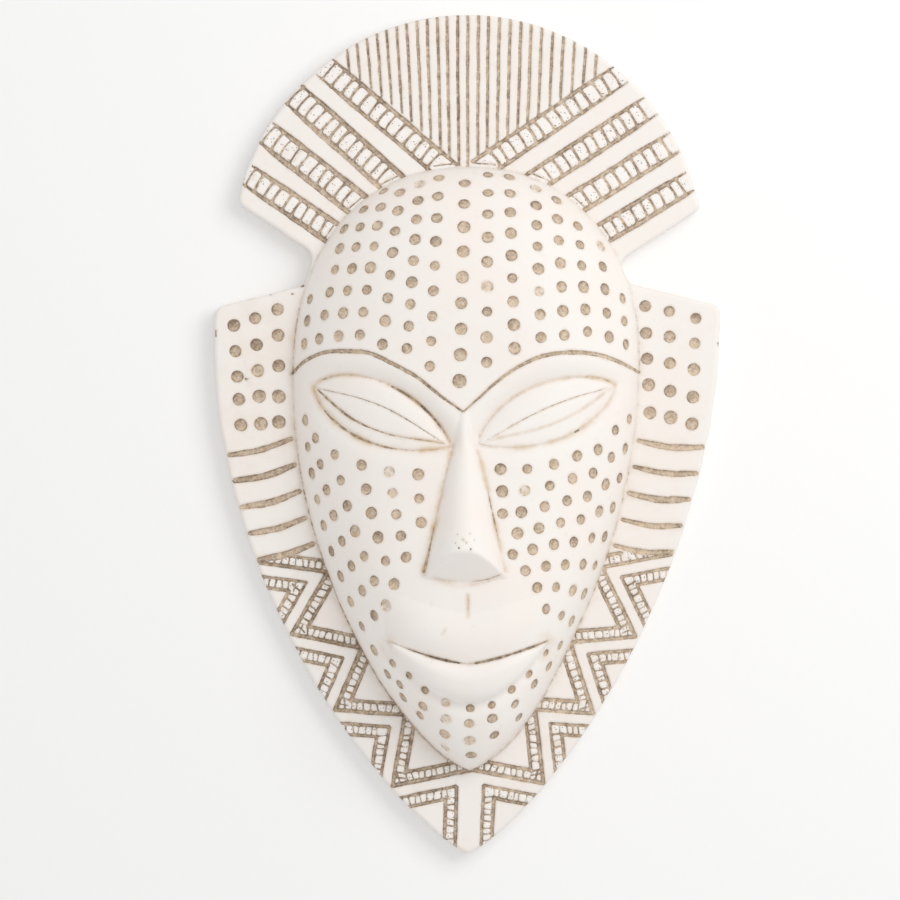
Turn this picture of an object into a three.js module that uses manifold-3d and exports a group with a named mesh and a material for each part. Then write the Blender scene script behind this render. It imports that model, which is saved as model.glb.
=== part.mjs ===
// A wall mask cast in one piece: a flat plate with a round crest, two wings and a pointed shield,
// and a hollow domed face standing out of it. It lies on its flat back, face up.
// Millimetres. +X is the viewer's right, +Y runs up to the crest, +Z comes out of the face.
// The origin is the middle of the back, and the back's rim lies on z = 0.
import * as THREE from "three";
import { mergeVertices } from "three/addons/utils/BufferGeometryUtils.js";
import Module from "manifold-3d";

const wasm = await Module();
wasm.setup();

// Driving dimensions of the plate
const maskHeight = 350;
const plateThick = 11;
const rimBevel = 1.5;
const crestRadius = 98.2;
const crestCentreY = maskHeight / 2 - crestRadius;
const wingTopY = 46;
const shieldHalf = 105.7;
const shieldTopY = 39.3;
const shieldReach = 214.3;
const midlineDrift = -1.5;
const chinDrift = 1.4;

// Driving dimensions of the domed face
const cheekHalf = 72.1;
const cheekY = 27.6;
const foreheadReach = 83.9;
const chinReach = 168;
const domeRise = 36;
const domeFlatness = 2.9;
const domeFall = 0.67;
const muzzleRise = 4;
const muzzleY = -75;
const muzzleSpread = 25;
const wall = 9;
const cavityInset = 7.5;

// Driving dimensions of the features
const browV = [-2, 9.2];
const eyeLength = 62;
const eyeRise = 12.8;
const eyeDrop = 11.2;
const eyeCrown = -1;
const socketTop = 5.2;
const socketBottom = 1.8;
const socketReach = 6.5;
const noseCentreX = -1.3;
const noseTopY = 9;
const noseTipY = -48;
const noseBaseY = -61.4;
const noseRise = 16;
const noseUnderSlope = 1.2;
const mouthY = -95.5;
const mouthHalf = 34;
const mouthCornerLift = 9.8;
const lipEdgeY = -111.2;
const lipEdgeLift = 24;
const upperLipHeight = 21;
const upperLipRise = 2.4;
const lowerLipRise = 3.6;

// Driving dimensions of the carving
const dotRadius = 2.8;
const dotDepth = 1.1;
const fluteCount = 25;
const fluteFirstX = -50.3;
const flutePitch = 4.335;
const fluteLean = 0.045;
const fluteHalf = 0.75;
const bandWidth = 9.6;
const railHalf = 0.95;
const railDepth = 1;
const rungHalf = 0.55;
const rungDepth = 0.6;
const rungPitch = 4.9;
const plainBandEnd = 3.5;
const plainCorner = 9;
const zigzagWidth = 4.5;
const chevronGap = 5.4;
const wingPitch = 10.95;
const wingGrooveCount = 5;
const wingGrooveHalf = 1.1;

// How finely the face is cut into facets
const footSteps = 32;
const dotSides = 5;
const filling = 8.2;
const featureLimit = 0.985;
const steepestDot = 1.7;
const faceSink = 1;

// The two sides were carved freely and differ a little. Lengths are counted outwards from the middle.
// Bands of the crest: degrees from the vertical at the rim, and slope.
// Columns of dots: forehead [foot x, foot y, pitch, lean, count], and cheek [distance in from the
// footprint's edge, top y, pitch, drift of that distance, count].
const sides = [
  {
    sign: 1,
    crestCorner: [98.4, 94.6],
    notch: [[63.3, 72.2], [67.4, 62.8]],
    wingCorner: [105.6, 53.8],
    bands: [[41, 34], [51.7, 33.1], [62, 31.9], [73, 30.9]],
    innerZigzagY: [-55.6, -87.1, -115.1, -140.3],
    outerZigzagY: [-50.5, -84.8, -116.7, -145.8],
    wingLine: { y: -2.9, rise: -3.5, sag: 0.8 },
    wingDots: { x: 75.3, y: 53.4, column: 9.3, step: -2.5, pitch: 11.05 },
    brow: [[9.3, 18.5], [21, 27.6], [35, 33.2], [47.6, 34.2], [60, 31.6], [72.6, 26]],
    eye: { outer: [61.5, 20.3], inner: [4.3, -4.2], lid: 2.8, rim: 3.2 },
    forehead: [
      [-3.5, 21.9, 10.8, 0.028, 10], [7.8, 29.6, 10.5, 0.007, 9], [19.3, 35.5, 9.7, -0.028, 9],
      [30.3, 40, 9.6, -0.033, 8], [40.1, 41, 10.1, -0.056, 7], [49.8, 42.6, 9.3, -0.089, 6],
      [58.8, 40.4, 10, -0.089, 5], [65.9, 37.4, 9.7, -0.065, 3],
    ],
    cheek: [
      [2.9, 6.2, 12.1, -0.01, 11], [8.3, 1.5, 11.4, -0.01, 8], [14.5, -6.6, 9.8, -0.035, 8],
      [22.8, -9.2, 9.4, -0.025, 7], [31.9, -12.5, 9.1, 0, 6], [42.6, -14.5, 9.1, 0.085, 5],
      [53.7, -14.5, 9.4, 0.265, 3],
    ],
  },
  {
    sign: -1,
    crestCorner: [96.6, 96.6],
    notch: [[64.4, 75.2], [68, 62.2]],
    wingCorner: [105.6, 52.8],
    bands: [[37.7, 40.3], [48.3, 41.9], [59.8, 38.3], [71, 34.5]],
    innerZigzagY: [-57.6, -89.4, -117.4, -140.5],
    outerZigzagY: [-53.9, -83.5, -115.3, -147],
    wingLine: { y: -2.1, rise: -6.6, sag: 1.2 },
    wingDots: { x: 78.9, y: 51.3, column: 9.3, step: -2.7, pitch: 11.2 },
    brow: [[7.9, 16.1], [17.5, 23.8], [27.1, 29.1], [38.7, 33.4], [48.3, 34.3], [64, 32], [72, 25.2]],
    eye: { outer: [64.2, 19.6], inner: [7.4, -5], lid: 2.2, rim: 6.7 },
    forehead: [
      [-15.7, 27.9, 10.5, 0.047, 9], [-25.2, 35.4, 9.2, 0.073, 10], [-35.4, 37, 9.7, 0.111, 8],
      [-44.9, 41, 9.5, 0.16, 8], [-53.8, 40.6, 9.6, 0.195, 7], [-61.9, 39.5, 9.9, 0.223, 6],
      [-68.2, 37.6, 11.5, 0.13, 3],
    ],
    cheek: [
      [4.4, 5.7, 11.1, -0.006, 12], [8.1, -1.7, 10.9, -0.056, 8], [15.4, -8.6, 10.8, -0.057, 7],
      [25.9, -13, 10.2, -0.007, 6], [37, -15.7, 9.1, 0.05, 5], [48.8, -16.8, 10.2, 0.155, 3],
    ],
  },
];

// Rows of dots round the chin: lowest y, its x, rise at 30 from there, first x, pitch, count
const chinRows = [
  [-112.1, -0.7, 16.5, -32.7, 8.2, 9], [-120.2, 0, 18, -28.3, 9.6, 6],
  [-127.5, 1.2, 21, -19.9, 10.3, 5], [-133.7, 1.4, 25, -9.5, 10.9, 2],
];

const clamp = THREE.MathUtils.clamp;
const lerp = THREE.MathUtils.lerp;
const smoothstep = THREE.MathUtils.smoothstep;
const radians = THREE.MathUtils.degToRad;
const vec = (x, y) => new THREE.Vector2(x, y);

// The smaller of two heights, with the corner between them rounded over about k.
function softMin(a, b, k) {
  const h = clamp(0.5 + (b - a) / (2 * k), 0, 1);
  return lerp(b, a, h) - k * h * (1 - h);
}

// Distance from (x, y) to a line of points.
function distanceTo(line, x, y) {
  let best = Infinity;
  for (let i = 1; i < line.length; i++) {
    const a = line[i - 1];
    const along = vec(line[i].x - a.x, line[i].y - a.y);
    const t = clamp(((x - a.x) * along.x + (y - a.y) * along.y) / along.lengthSq(), 0, 1);
    best = Math.min(best, Math.hypot(x - a.x - along.x * t, y - a.y - along.y * t));
  }
  return best;
}

// A rounded groove's depth at a distance from its middle line.
const grooveDepth = (distance, half, depth) => depth * (1 - smoothstep(distance, half * 0.3, half));

// The middle of the mask bows a little to the viewer's left between the wings and the tip.
const midline = (y) => midlineDrift * Math.sin(Math.PI * clamp((60 - y) / 230, 0, 1));

// Half width of the shield below the wings: full at its top, closing to the tip.
function shieldHalfWidth(y) {
  const t = clamp((shieldTopY - y) / shieldReach, 0, 1);
  return shieldHalf * (1 - t ** 1.8) ** 0.785;
}

// The face's middle follows the mask's, and comes back to the right towards the chin.
const faceMiddle = (y) => midline(y) + chinDrift * (1 - smoothstep(y, -130, -85));

// Half width of the face's footprint on the plate, a little fuller at the chin.
function footHalfWidth(y) {
  if (y > cheekY) {
    return cheekHalf * (1 - clamp((y - cheekY) / foreheadReach, 0, 1) ** 2.2) ** (1 / 2.2);
  }
  const t = clamp((cheekY - y) / chinReach, 0, 1);
  return cheekHalf * (1 - t ** 2) ** (0.79 - 0.06 * smoothstep(t, 0.6, 0.9));
}

// How far out a point lies on the dome: 0 on the middle line, 1 on the footprint's edge.
function domeRatio(x, y) {
  const across = Math.abs(x - faceMiddle(y));
  if (y <= cheekY) return across / Math.max(footHalfWidth(y), 0.01);
  return ((across / cheekHalf) ** 2.2 + ((y - cheekY) / foreheadReach) ** 2.2) ** (1 / 2.2);
}

// Height of the bare dome over the plate, with no features on it.
function domeHeight(x, y) {
  const fall = Math.max(1 - domeRatio(x, y) ** domeFlatness, 0) ** domeFall;
  if (y > cheekY) return domeRise * fall;
  const toChin = clamp((cheekY - y) / chinReach, 0, 1);
  const muzzle = muzzleRise * Math.exp(-(((y - muzzleY) / muzzleSpread) ** 2) / 2);
  return (domeRise + muzzle) * (1 - toChin ** 8) ** 0.6 * fall;
}

// Half width of the nose where its sides meet the cheeks, and of its flat ridge.
const noseFootHalf = (y) => 5.4 + 0.25 * (-9 - y);
const noseRidgeHalf = (y) => 4 + 0.093 * (-6.7 - y);

// The nose is a straight ridge with sloping sides, cut off underneath by a slope.
function noseHeight(x, y) {
  const across = Math.abs(x - noseCentreX);
  const ridge = noseRise * clamp((noseTopY - y) / (noseTopY - noseTipY), 0, 2) ** 1.35;
  const foot = noseFootHalf(y);
  const side = (ridge * (foot - across)) / Math.max(foot - noseRidgeHalf(y), 0.5);
  const under = (y - noseBaseY - 4 * (across / 17) ** 2) * noseUnderSlope;
  return Math.max(softMin(softMin(ridge, side, 1.2), under, 1), 0);
}

// An eye's own axes: s runs from 0 at the outer corner to 1 at the inner one, d is across it, upwards.
function eyeFrame(side) {
  const outer = vec(side.sign * side.eye.outer[0], side.eye.outer[1]);
  const inner = vec(side.sign * side.eye.inner[0], side.eye.inner[1]);
  const along = inner.clone().sub(outer).normalize();
  const up = vec(-along.y, along.x).multiplyScalar(-side.sign);
  const place = (s, d) => outer.clone().addScaledVector(along, s * eyeLength).addScaledVector(up, d);
  const read = (x, y) => {
    const from = vec(x, y).sub(outer);
    return [from.dot(along) / eyeLength, from.dot(up)];
  };
  return { place, read };
}

// Height of an almond's edge over its chord, 1 at the fullest place.
const almond = (s) => (clamp(s, 0, 1) ** 0.55 * (1 - clamp(s, 0, 1)) ** 0.62) / 0.4455;
const lidLine = (side, s) => side.eye.lid * Math.sin(Math.PI * clamp(s, 0, 1));
const rimLine = (side, s) => -side.eye.rim * Math.sin(Math.PI * clamp(s, 0, 1) ** 0.9);

for (const side of sides) {
  side.frame = eyeFrame(side);
  const trace = (height) =>
    Array.from({ length: 13 }, (_, i) => side.frame.place(i / 12, height(i / 12)));
  side.eyeTop = trace((s) => eyeRise * almond(s));
  side.eyeBottom = trace((s) => -eyeDrop * almond(s));
  side.lid = trace((s) => lidLine(side, s));
  side.rim = trace((s) => rimLine(side, s));
  side.browLine = [browV, ...side.brow.map(([x, y]) => [side.sign * x + browV[0] * 0.5, y])];
  side.browLine = new THREE.SplineCurve(side.browLine.map(([x, y]) => vec(x, y))).getPoints(18);
}

// The eye is a closed bulge in a hollow that is deep under the brow and shallow over the cheek.
function eyeHeight(side, x, y) {
  const [s, d] = side.frame.read(x, y);
  if (s < -0.2 || s > 1.2 || Math.abs(d) > 30) return 0;
  const upper = smoothstep(d, -4, 4);
  const edge = lerp(socketBottom, socketTop * lerp(0.6, 1.05, clamp(s, 0, 1)), upper);
  const fullness = d > 0 ? eyeRise : eyeDrop;
  const reach = fullness * almond(s);
  if (s > 0 && s < 1 && Math.abs(d) < reach) {
    const taper = (4 * s * (1 - s)) ** 0.35;
    const bulge = (edge + eyeCrown) * (1 - (Math.abs(d) / reach) ** 2.4) ** 0.6 * taper;
    const underLid = smoothstep(lidLine(side, s) - d, -0.2, 0.4);
    const overRim = smoothstep(d - rimLine(side, s), -0.4, 0.2);
    return bulge - edge - 0.5 * underLid * overRim * taper;
  }
  const outside = Math.min(distanceTo(side.eyeTop, x, y), distanceTo(side.eyeBottom, x, y));
  return -edge * (1 - smoothstep(outside, 0, socketReach));
}

const mouthLine = (x) => mouthY + mouthCornerLift * (Math.abs(x) / mouthHalf) ** 1.4;
const lipEdge = (x) => lipEdgeY + lipEdgeLift * (x / (mouthHalf - 1)) ** 2;

// A full upper lip, and a lower one with a sharp edge over the chin.
function lipHeight(x, y) {
  const taper = Math.sqrt(Math.max(1 - (x / mouthHalf) ** 2, 0));
  const above = (y - mouthLine(x)) / upperLipHeight;
  if (above >= 0) return above > 1 ? 0 : upperLipRise * taper * Math.sin(Math.PI * above ** 0.8);
  const below = (mouthLine(x) - y) / Math.max(mouthLine(x) - lipEdge(x), 0.01);
  if (below > 1 || taper === 0) return 0;
  const swell = below < 0.55
    ? Math.sin((Math.PI / 2) * (below / 0.55)) ** 0.6
    : Math.sqrt(1 - ((below - 0.55) / 0.45) ** 3);
  return lowerLipRise * taper * swell;
}

// Height of the face over the back, with its features but without dots.
function faceHeight(x, y) {
  const brow = Math.min(distanceTo(sides[0].browLine, x, y), distanceTo(sides[1].browLine, x, y));
  const lids = Math.min(distanceTo(sides[0].lid, x, y), distanceTo(sides[1].lid, x, y));
  const rims = Math.min(distanceTo(sides[0].rim, x, y), distanceTo(sides[1].rim, x, y));
  const mouthGap = Math.abs(x) < mouthHalf ? Math.abs(y - mouthLine(x)) : Infinity;
  return plateThick + domeHeight(x, y) + noseHeight(x, y) + lipHeight(x, y)
    + eyeHeight(sides[0], x, y) + eyeHeight(sides[1], x, y)
    - grooveDepth(brow, 1.1, 0.9) - grooveDepth(lids, 0.8, 0.6)
    - grooveDepth(rims, 0.9, 0.6) - grooveDepth(mouthGap, 1.3, 1.3);
}

// Slope of the bare dome at a point, for dots sunk square to its surface.
function domeSlope(x, y) {
  const e = 0.5;
  return vec(
    (domeHeight(x + e, y) - domeHeight(x - e, y)) / (2 * e),
    (domeHeight(x, y + e) - domeHeight(x, y - e)) / (2 * e),
  );
}

// Centres of the dots on the face. The pitch of a column is measured along the dome's surface.
function faceDots() {
  const dots = [];
  for (const side of sides) {
    for (const [footX, footY, pitch, lean, count] of side.forehead) {
      let y = footY;
      for (let i = 0; i < count; i++) {
        const x = footX + lean * (y - footY);
        dots.push([x, y]);
        y += pitch / Math.hypot(1, domeSlope(x, y).y);
      }
    }
    for (const [offset, startY, pitch, drift, count] of side.cheek) {
      let y = startY;
      for (let i = 0; i < count; i++) {
        const fromEdge = offset + drift * (y - startY);
        dots.push([faceMiddle(y) + side.sign * (footHalfWidth(y) - fromEdge), y]);
        y -= pitch / Math.hypot(1, footHalfWidth(y + 0.5) - footHalfWidth(y - 0.5));
      }
    }
  }
  for (const [lowY, lowX, rise, firstX, pitch, count] of chinRows) {
    for (let i = 0; i < count; i++) {
      const x = firstX + i * pitch;
      dots.push([x, lowY + rise * ((x - lowX) / 30) ** 2]);
    }
  }
  return dots;
}

// Outline of the plate down one side, from the top of the crest to the tip.
function sideOutline(side) {
  const { sign, notch } = side;
  const corner = vec(sign * side.crestCorner[0], side.crestCorner[1]);
  const wing = vec(sign * side.wingCorner[0], side.wingCorner[1]);
  const [crestFoot, wingHead] = notch.map(([x, y]) => vec(sign * x, y));
  const cornerTurn = Math.atan2(Math.abs(corner.x), corner.y - crestCentreY);
  const arcSteps = 15;
  const shieldSteps = 15;
  const points = [];
  for (let i = 0; i < arcSteps; i++) {
    const turn = (cornerTurn * i) / arcSteps;
    points.push(vec(sign * crestRadius * Math.sin(turn), crestCentreY + crestRadius * Math.cos(turn)));
  }
  const shieldStart = vec(midline(wingTopY) + sign * shieldHalf, wingTopY);
  const turns = [points.at(-1), corner, crestFoot, wingHead, wing, shieldStart];
  const cuts = [4, 4, 3, 4];
  cuts.forEach((cut, i) => {
    const start = turns[i + 1].clone().add(turns[i].clone().sub(turns[i + 1]).setLength(cut));
    const end = turns[i + 1].clone().add(turns[i + 2].clone().sub(turns[i + 1]).setLength(cut));
    points.push(...new THREE.QuadraticBezierCurve(start, turns[i + 1], end).getPoints(3));
  });
  for (let i = 0; i < shieldSteps; i++) {
    const y = lerp(wingTopY - 2, -maskHeight / 2, Math.sin((Math.PI / 2) * (i / shieldSteps)));
    points.push(vec(midline(y) + sign * shieldHalfWidth(y), y));
  }
  return points;
}

// The whole outline, counter-clockwise from the top of the crest.
function plateOutline() {
  const left = sideOutline(sides[1]);
  const right = sideOutline(sides[0]).slice(1).reverse();
  return [...left, vec(0, -maskHeight / 2), ...right];
}

function toSolid(geometry) {
  const bare = new THREE.BufferGeometry();
  bare.setAttribute("position", geometry.attributes.position);
  bare.setIndex(geometry.index);
  const merged = mergeVertices(bare, 1e-4);
  return new wasm.Manifold(new wasm.Mesh({
    numProp: 3,
    vertProperties: merged.attributes.position.array,
    triVerts: new Uint32Array(merged.index.array),
  }));
}

function fromPoints(points, faces) {
  const geometry = new THREE.BufferGeometry();
  geometry.setAttribute("position", new THREE.Float32BufferAttribute(points.flat(), 3));
  geometry.setIndex(faces.flat());
  return geometry;
}

// The plate: its outline at the back and near the front, and the same drawn in at the front face.
function plateSolid() {
  const outline = plateOutline();
  const count = outline.length;
  const drawnIn = outline.map((p, i) => {
    const back = p.clone().sub(outline[(i + count - 1) % count]).normalize();
    const ahead = outline[(i + 1) % count].clone().sub(p).normalize();
    const along = back.clone().add(ahead).normalize();
    return p.clone().addScaledVector(vec(-along.y, along.x), rimBevel / along.dot(ahead));
  });
  const corners = [
    ...outline.map((p) => [p.x, p.y, 0]),
    ...outline.map((p) => [p.x, p.y, plateThick - rimBevel]),
    ...drawnIn.map((p) => [p.x, p.y, plateThick]),
  ];
  const faces = [];
  for (let i = 0; i < count; i++) {
    const next = (i + 1) % count;
    for (const ring of [0, count]) {
      faces.push([ring + i, ring + next, ring + count + next]);
      faces.push([ring + i, ring + count + next, ring + count + i]);
    }
  }
  for (const [a, b, c] of THREE.ShapeUtils.triangulateShape(outline, [])) faces.push([c, b, a]);
  for (const face of THREE.ShapeUtils.triangulateShape(drawnIn, [])) {
    faces.push(face.map((id) => id + 2 * count));
  }
  return toSolid(fromPoints(corners, faces));
}

// A groove of V section along a line of points in the plate's front, with slanted ends.
function grooveSolid(line, half, depth) {
  const above = 0.4;
  const topHalf = (half * (depth + above)) / depth;
  const last = line.length - 1;
  const points = [];
  line.forEach((p, i) => {
    const back = p.clone().sub(line[Math.max(i - 1, 0)]).normalize();
    const ahead = line[Math.min(i + 1, last)].clone().sub(p).normalize();
    const along = back.clone().add(ahead).normalize();
    const turn = i === 0 || i === last ? 1 : Math.max(along.dot(ahead), 0.3);
    const across = vec(-along.y, along.x).multiplyScalar(topHalf / turn);
    const pull = (i === 0 ? 1 : 0) - (i === last ? 1 : 0);
    const foot = p.clone().addScaledVector(along, pull * half);
    points.push([p.x + across.x, p.y + across.y, plateThick + above]);
    points.push([p.x - across.x, p.y - across.y, plateThick + above]);
    points.push([foot.x, foot.y, plateThick - depth]);
  });
  const faces = [[0, 2, 1], [3 * last, 3 * last + 1, 3 * last + 2]];
  for (let i = 0; i < last; i++) {
    for (const [a, b] of [[0, 1], [1, 2], [2, 0]]) {
      const [p, q] = [3 * i + a, 3 * i + b];
      faces.push([p, q, q + 3], [p, q + 3, p + 3]);
    }
  }
  return toSolid(fromPoints(points, faces));
}

// A shallow round pit in the plate's front.
function pitSolid(x, y) {
  const above = 0.4;
  const rim = (dotRadius * (dotDepth + above)) / dotDepth;
  const cone = new THREE.ConeGeometry(rim, dotDepth + above, 6);
  cone.rotateX(-Math.PI / 2);
  cone.translate(x, y, plateThick + (above - dotDepth) / 2);
  return toSolid(cone);
}

// Short grooves across a band beside the line from a to b, between rails at shift and shift + width.
// They are spread evenly from a plain stretch at a to the far end.
function rungSolids(a, b, shift, width, plain) {
  const along = b.clone().sub(a);
  const count = Math.floor((along.length() - plain) / rungPitch);
  const pitch = (along.length() - plain) / count;
  along.normalize();
  const across = vec(-along.y, along.x);
  const clear = Math.sign(width) * (railHalf + 0.1);
  const rungs = [];
  for (let i = 0; i < count; i++) {
    const middle = a.clone().addScaledVector(along, plain + i * pitch);
    const start = middle.clone().addScaledVector(across, shift + clear);
    const end = middle.clone().addScaledVector(across, shift + width - clear);
    rungs.push(grooveSolid([start, end], rungHalf, rungDepth));
  }
  return rungs;
}

const onCrest = (side, degrees, inset) => vec(
  side.sign * (crestRadius - inset) * Math.sin(radians(degrees)),
  crestCentreY + (crestRadius - inset) * Math.cos(radians(degrees)),
);

// The four ladder bands on one side of the crest run from its rim down to the dome.
function crestBands(side) {
  return side.bands.map(([degrees, slope]) => {
    const outer = onCrest(side, degrees, 2.5);
    const along = vec(-side.sign * Math.cos(radians(slope)), -Math.sin(radians(slope)));
    const inner = outer.clone();
    while (domeRatio(inner.x, inner.y) > 1) inner.addScaledVector(along, 0.5);
    return { outer, inner, along };
  });
}

// Carving of the crest: ladder bands on both sides and flutes standing between the uppermost two.
function crestCarving() {
  const cuts = [];
  for (const side of sides) {
    for (const { outer, inner, along } of crestBands(side)) {
      const across = vec(-along.y, along.x);
      for (const shift of [-bandWidth / 2, bandWidth / 2]) {
        const past = inner.clone().addScaledVector(along, 4);
        const rail = [outer, past].map((p) => p.clone().addScaledVector(across, shift));
        cuts.push(grooveSolid(rail, railHalf, railDepth));
      }
      cuts.push(...rungSolids(outer, inner, -bandWidth / 2, bandWidth, plainBandEnd));
    }
  }
  const [right, left] = sides.map((side) => crestBands(side)[0]);
  for (let i = 0; i < fluteCount; i++) {
    const x = fluteFirstX + i * flutePitch;
    const top = crestCentreY + Math.sqrt((crestRadius - 1) ** 2 - x * x);
    const { outer, along } = x < 0 ? left : right;
    const slope = along.y / along.x;
    const bandTop = outer.y + bandWidth / 2 / Math.abs(along.x) + slope * (x - outer.x);
    const bottom = bandTop + railHalf;
    if (top - bottom < 3) continue;
    const foot = vec(x * (1 - (fluteLean * (top - bottom)) / 50), bottom);
    cuts.push(grooveSolid([vec(x, top), foot], fluteHalf, railDepth));
  }
  return cuts;
}

// The zigzag of one side runs between the plate's edge and the foot of the dome.
function zigzagLine(side) {
  const points = [];
  side.outerZigzagY.forEach((outerY, i) => {
    const innerY = side.innerZigzagY[i];
    points.push(vec(midline(outerY) + side.sign * (shieldHalfWidth(outerY) - 1.6), outerY));
    points.push(vec(faceMiddle(innerY) + side.sign * footHalfWidth(innerY), innerY));
  });
  return points;
}

// The same line moved sideways, with its corners kept sharp.
function offsetLine(line, distance) {
  return line.map((p, i) => {
    const back = p.clone().sub(line[Math.max(i - 1, 0)]).normalize();
    const ahead = line[Math.min(i + 1, line.length - 1)].clone().sub(p).normalize();
    const along = back.clone().add(ahead).normalize();
    const turn = i === 0 || i === line.length - 1 ? 1 : along.dot(ahead);
    return p.clone().addScaledVector(vec(-along.y, along.x), distance / turn);
  });
}

// Where the line through a and b crosses the line through c and d.
function crossing(a, b, c, d) {
  const ab = b.clone().sub(a);
  const cd = d.clone().sub(c);
  return a.clone().addScaledVector(ab, c.clone().sub(a).cross(cd) / ab.cross(cd));
}

// One of the wing's grooves, from the dome's foot out to the plate's edge.
function wingGroove(side, i) {
  const { y, rise, sag } = side.wingLine;
  const innerY = y - i * wingPitch;
  const outerY = innerY + rise;
  const inner = vec(midline(innerY) + side.sign * (footHalfWidth(innerY) + 0.5), innerY);
  const outer = vec(midline(outerY) + side.sign * (shieldHalfWidth(outerY) - 1), outerY);
  return [inner, inner.clone().lerp(outer, 0.5).add(vec(0, -sag)), outer];
}

// Carving of the shield: the zigzag with its rungs, chevrons outside it, wing grooves and wing pits.
function shieldCarving() {
  const cuts = [];
  const rail = (line) => cuts.push(grooveSolid(line, railHalf, railDepth));
  for (const side of sides) {
    const line = zigzagLine(side);
    const inwards = side.sign * -1;
    const grooves = Array.from({ length: wingGrooveCount }, (_, i) => wingGroove(side, i));
    for (const groove of grooves) cuts.push(grooveSolid(groove, wingGrooveHalf, railDepth));
    const innerLine = offsetLine(line, inwards * zigzagWidth);
    const [, middle, outer] = grooves.at(-1);
    innerLine[0] = crossing(innerLine[0], innerLine[1], middle, outer);
    rail(line);
    rail(innerLine);
    line.forEach((outerEnd, i) => {
      if (i % 2 === 1) return;
      for (const [innerEnd, width] of [[line[i + 1], zigzagWidth], [line[i - 1], -zigzagWidth]]) {
        if (innerEnd) cuts.push(...rungSolids(outerEnd, innerEnd, 0, inwards * width, plainCorner));
      }
    });
    for (let i = 1; i < line.length; i += 2) {
      const next = line[i + 1] ?? vec(midline(-maskHeight / 2), -maskHeight / 2);
      for (const gap of [chevronGap, chevronGap + zigzagWidth]) {
        rail(offsetLine([line[i - 1], line[i], next], -inwards * gap));
      }
    }
    const dots = side.wingDots;
    for (let column = 0; column < 3; column++) {
      for (let row = 0; row < 5; row++) {
        const x = side.sign * (dots.x + column * dots.column);
        cuts.push(pitSolid(x, dots.y + column * dots.step - row * dots.pitch));
      }
    }
  }
  return cuts;
}

// Joins points of the plane into triangles so that no circle through a triangle holds another point.
function triangulate(points) {
  const far = 1e5;
  const all = [...points, vec(-far, -far), vec(far, -far), vec(0, far)];
  const first = points.length;
  const circle = (a, b, c) => {
    const [p, q, r] = [all[a], all[b], all[c]];
    const d = 2 * ((q.x - p.x) * (r.y - p.y) - (r.x - p.x) * (q.y - p.y));
    const q2 = (q.x - p.x) ** 2 + (q.y - p.y) ** 2;
    const r2 = (r.x - p.x) ** 2 + (r.y - p.y) ** 2;
    const x = p.x + ((r.y - p.y) * q2 - (q.y - p.y) * r2) / d;
    const y = p.y + ((q.x - p.x) * r2 - (r.x - p.x) * q2) / d;
    return { ids: [a, b, c], x, y, r2: (p.x - x) ** 2 + (p.y - y) ** 2 };
  };
  let triangles = [circle(first, first + 1, first + 2)];
  points.forEach((p, id) => {
    const edges = new Map();
    triangles = triangles.filter((t) => {
      if ((p.x - t.x) ** 2 + (p.y - t.y) ** 2 >= t.r2) return true;
      const [a, b, c] = t.ids;
      for (const [u, v] of [[a, b], [b, c], [c, a]]) {
        if (!edges.delete(v + "," + u)) edges.set(u + "," + v, [u, v]);
      }
      return false;
    });
    for (const [u, v] of edges.values()) triangles.push(circle(u, v, id));
  });
  return triangles.map((t) => t.ids).filter((ids) => ids.every((id) => id < first));
}

// A point on the footprint's edge, or on the same line drawn in by a ratio; t runs from crown to chin.
function footPoint(side, t, ratio) {
  const crownShare = 0.36;
  const fromCheek = t < crownShare
    ? foreheadReach * Math.cos(((Math.PI / 2) * t) / crownShare)
    : -chinReach * Math.sin(((Math.PI / 2) * (t - crownShare)) / (1 - crownShare));
  const y = cheekY + ratio * fromCheek;
  return vec(faceMiddle(y) + side.sign * ratio * footHalfWidth(cheekY + fromCheek), y);
}

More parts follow.
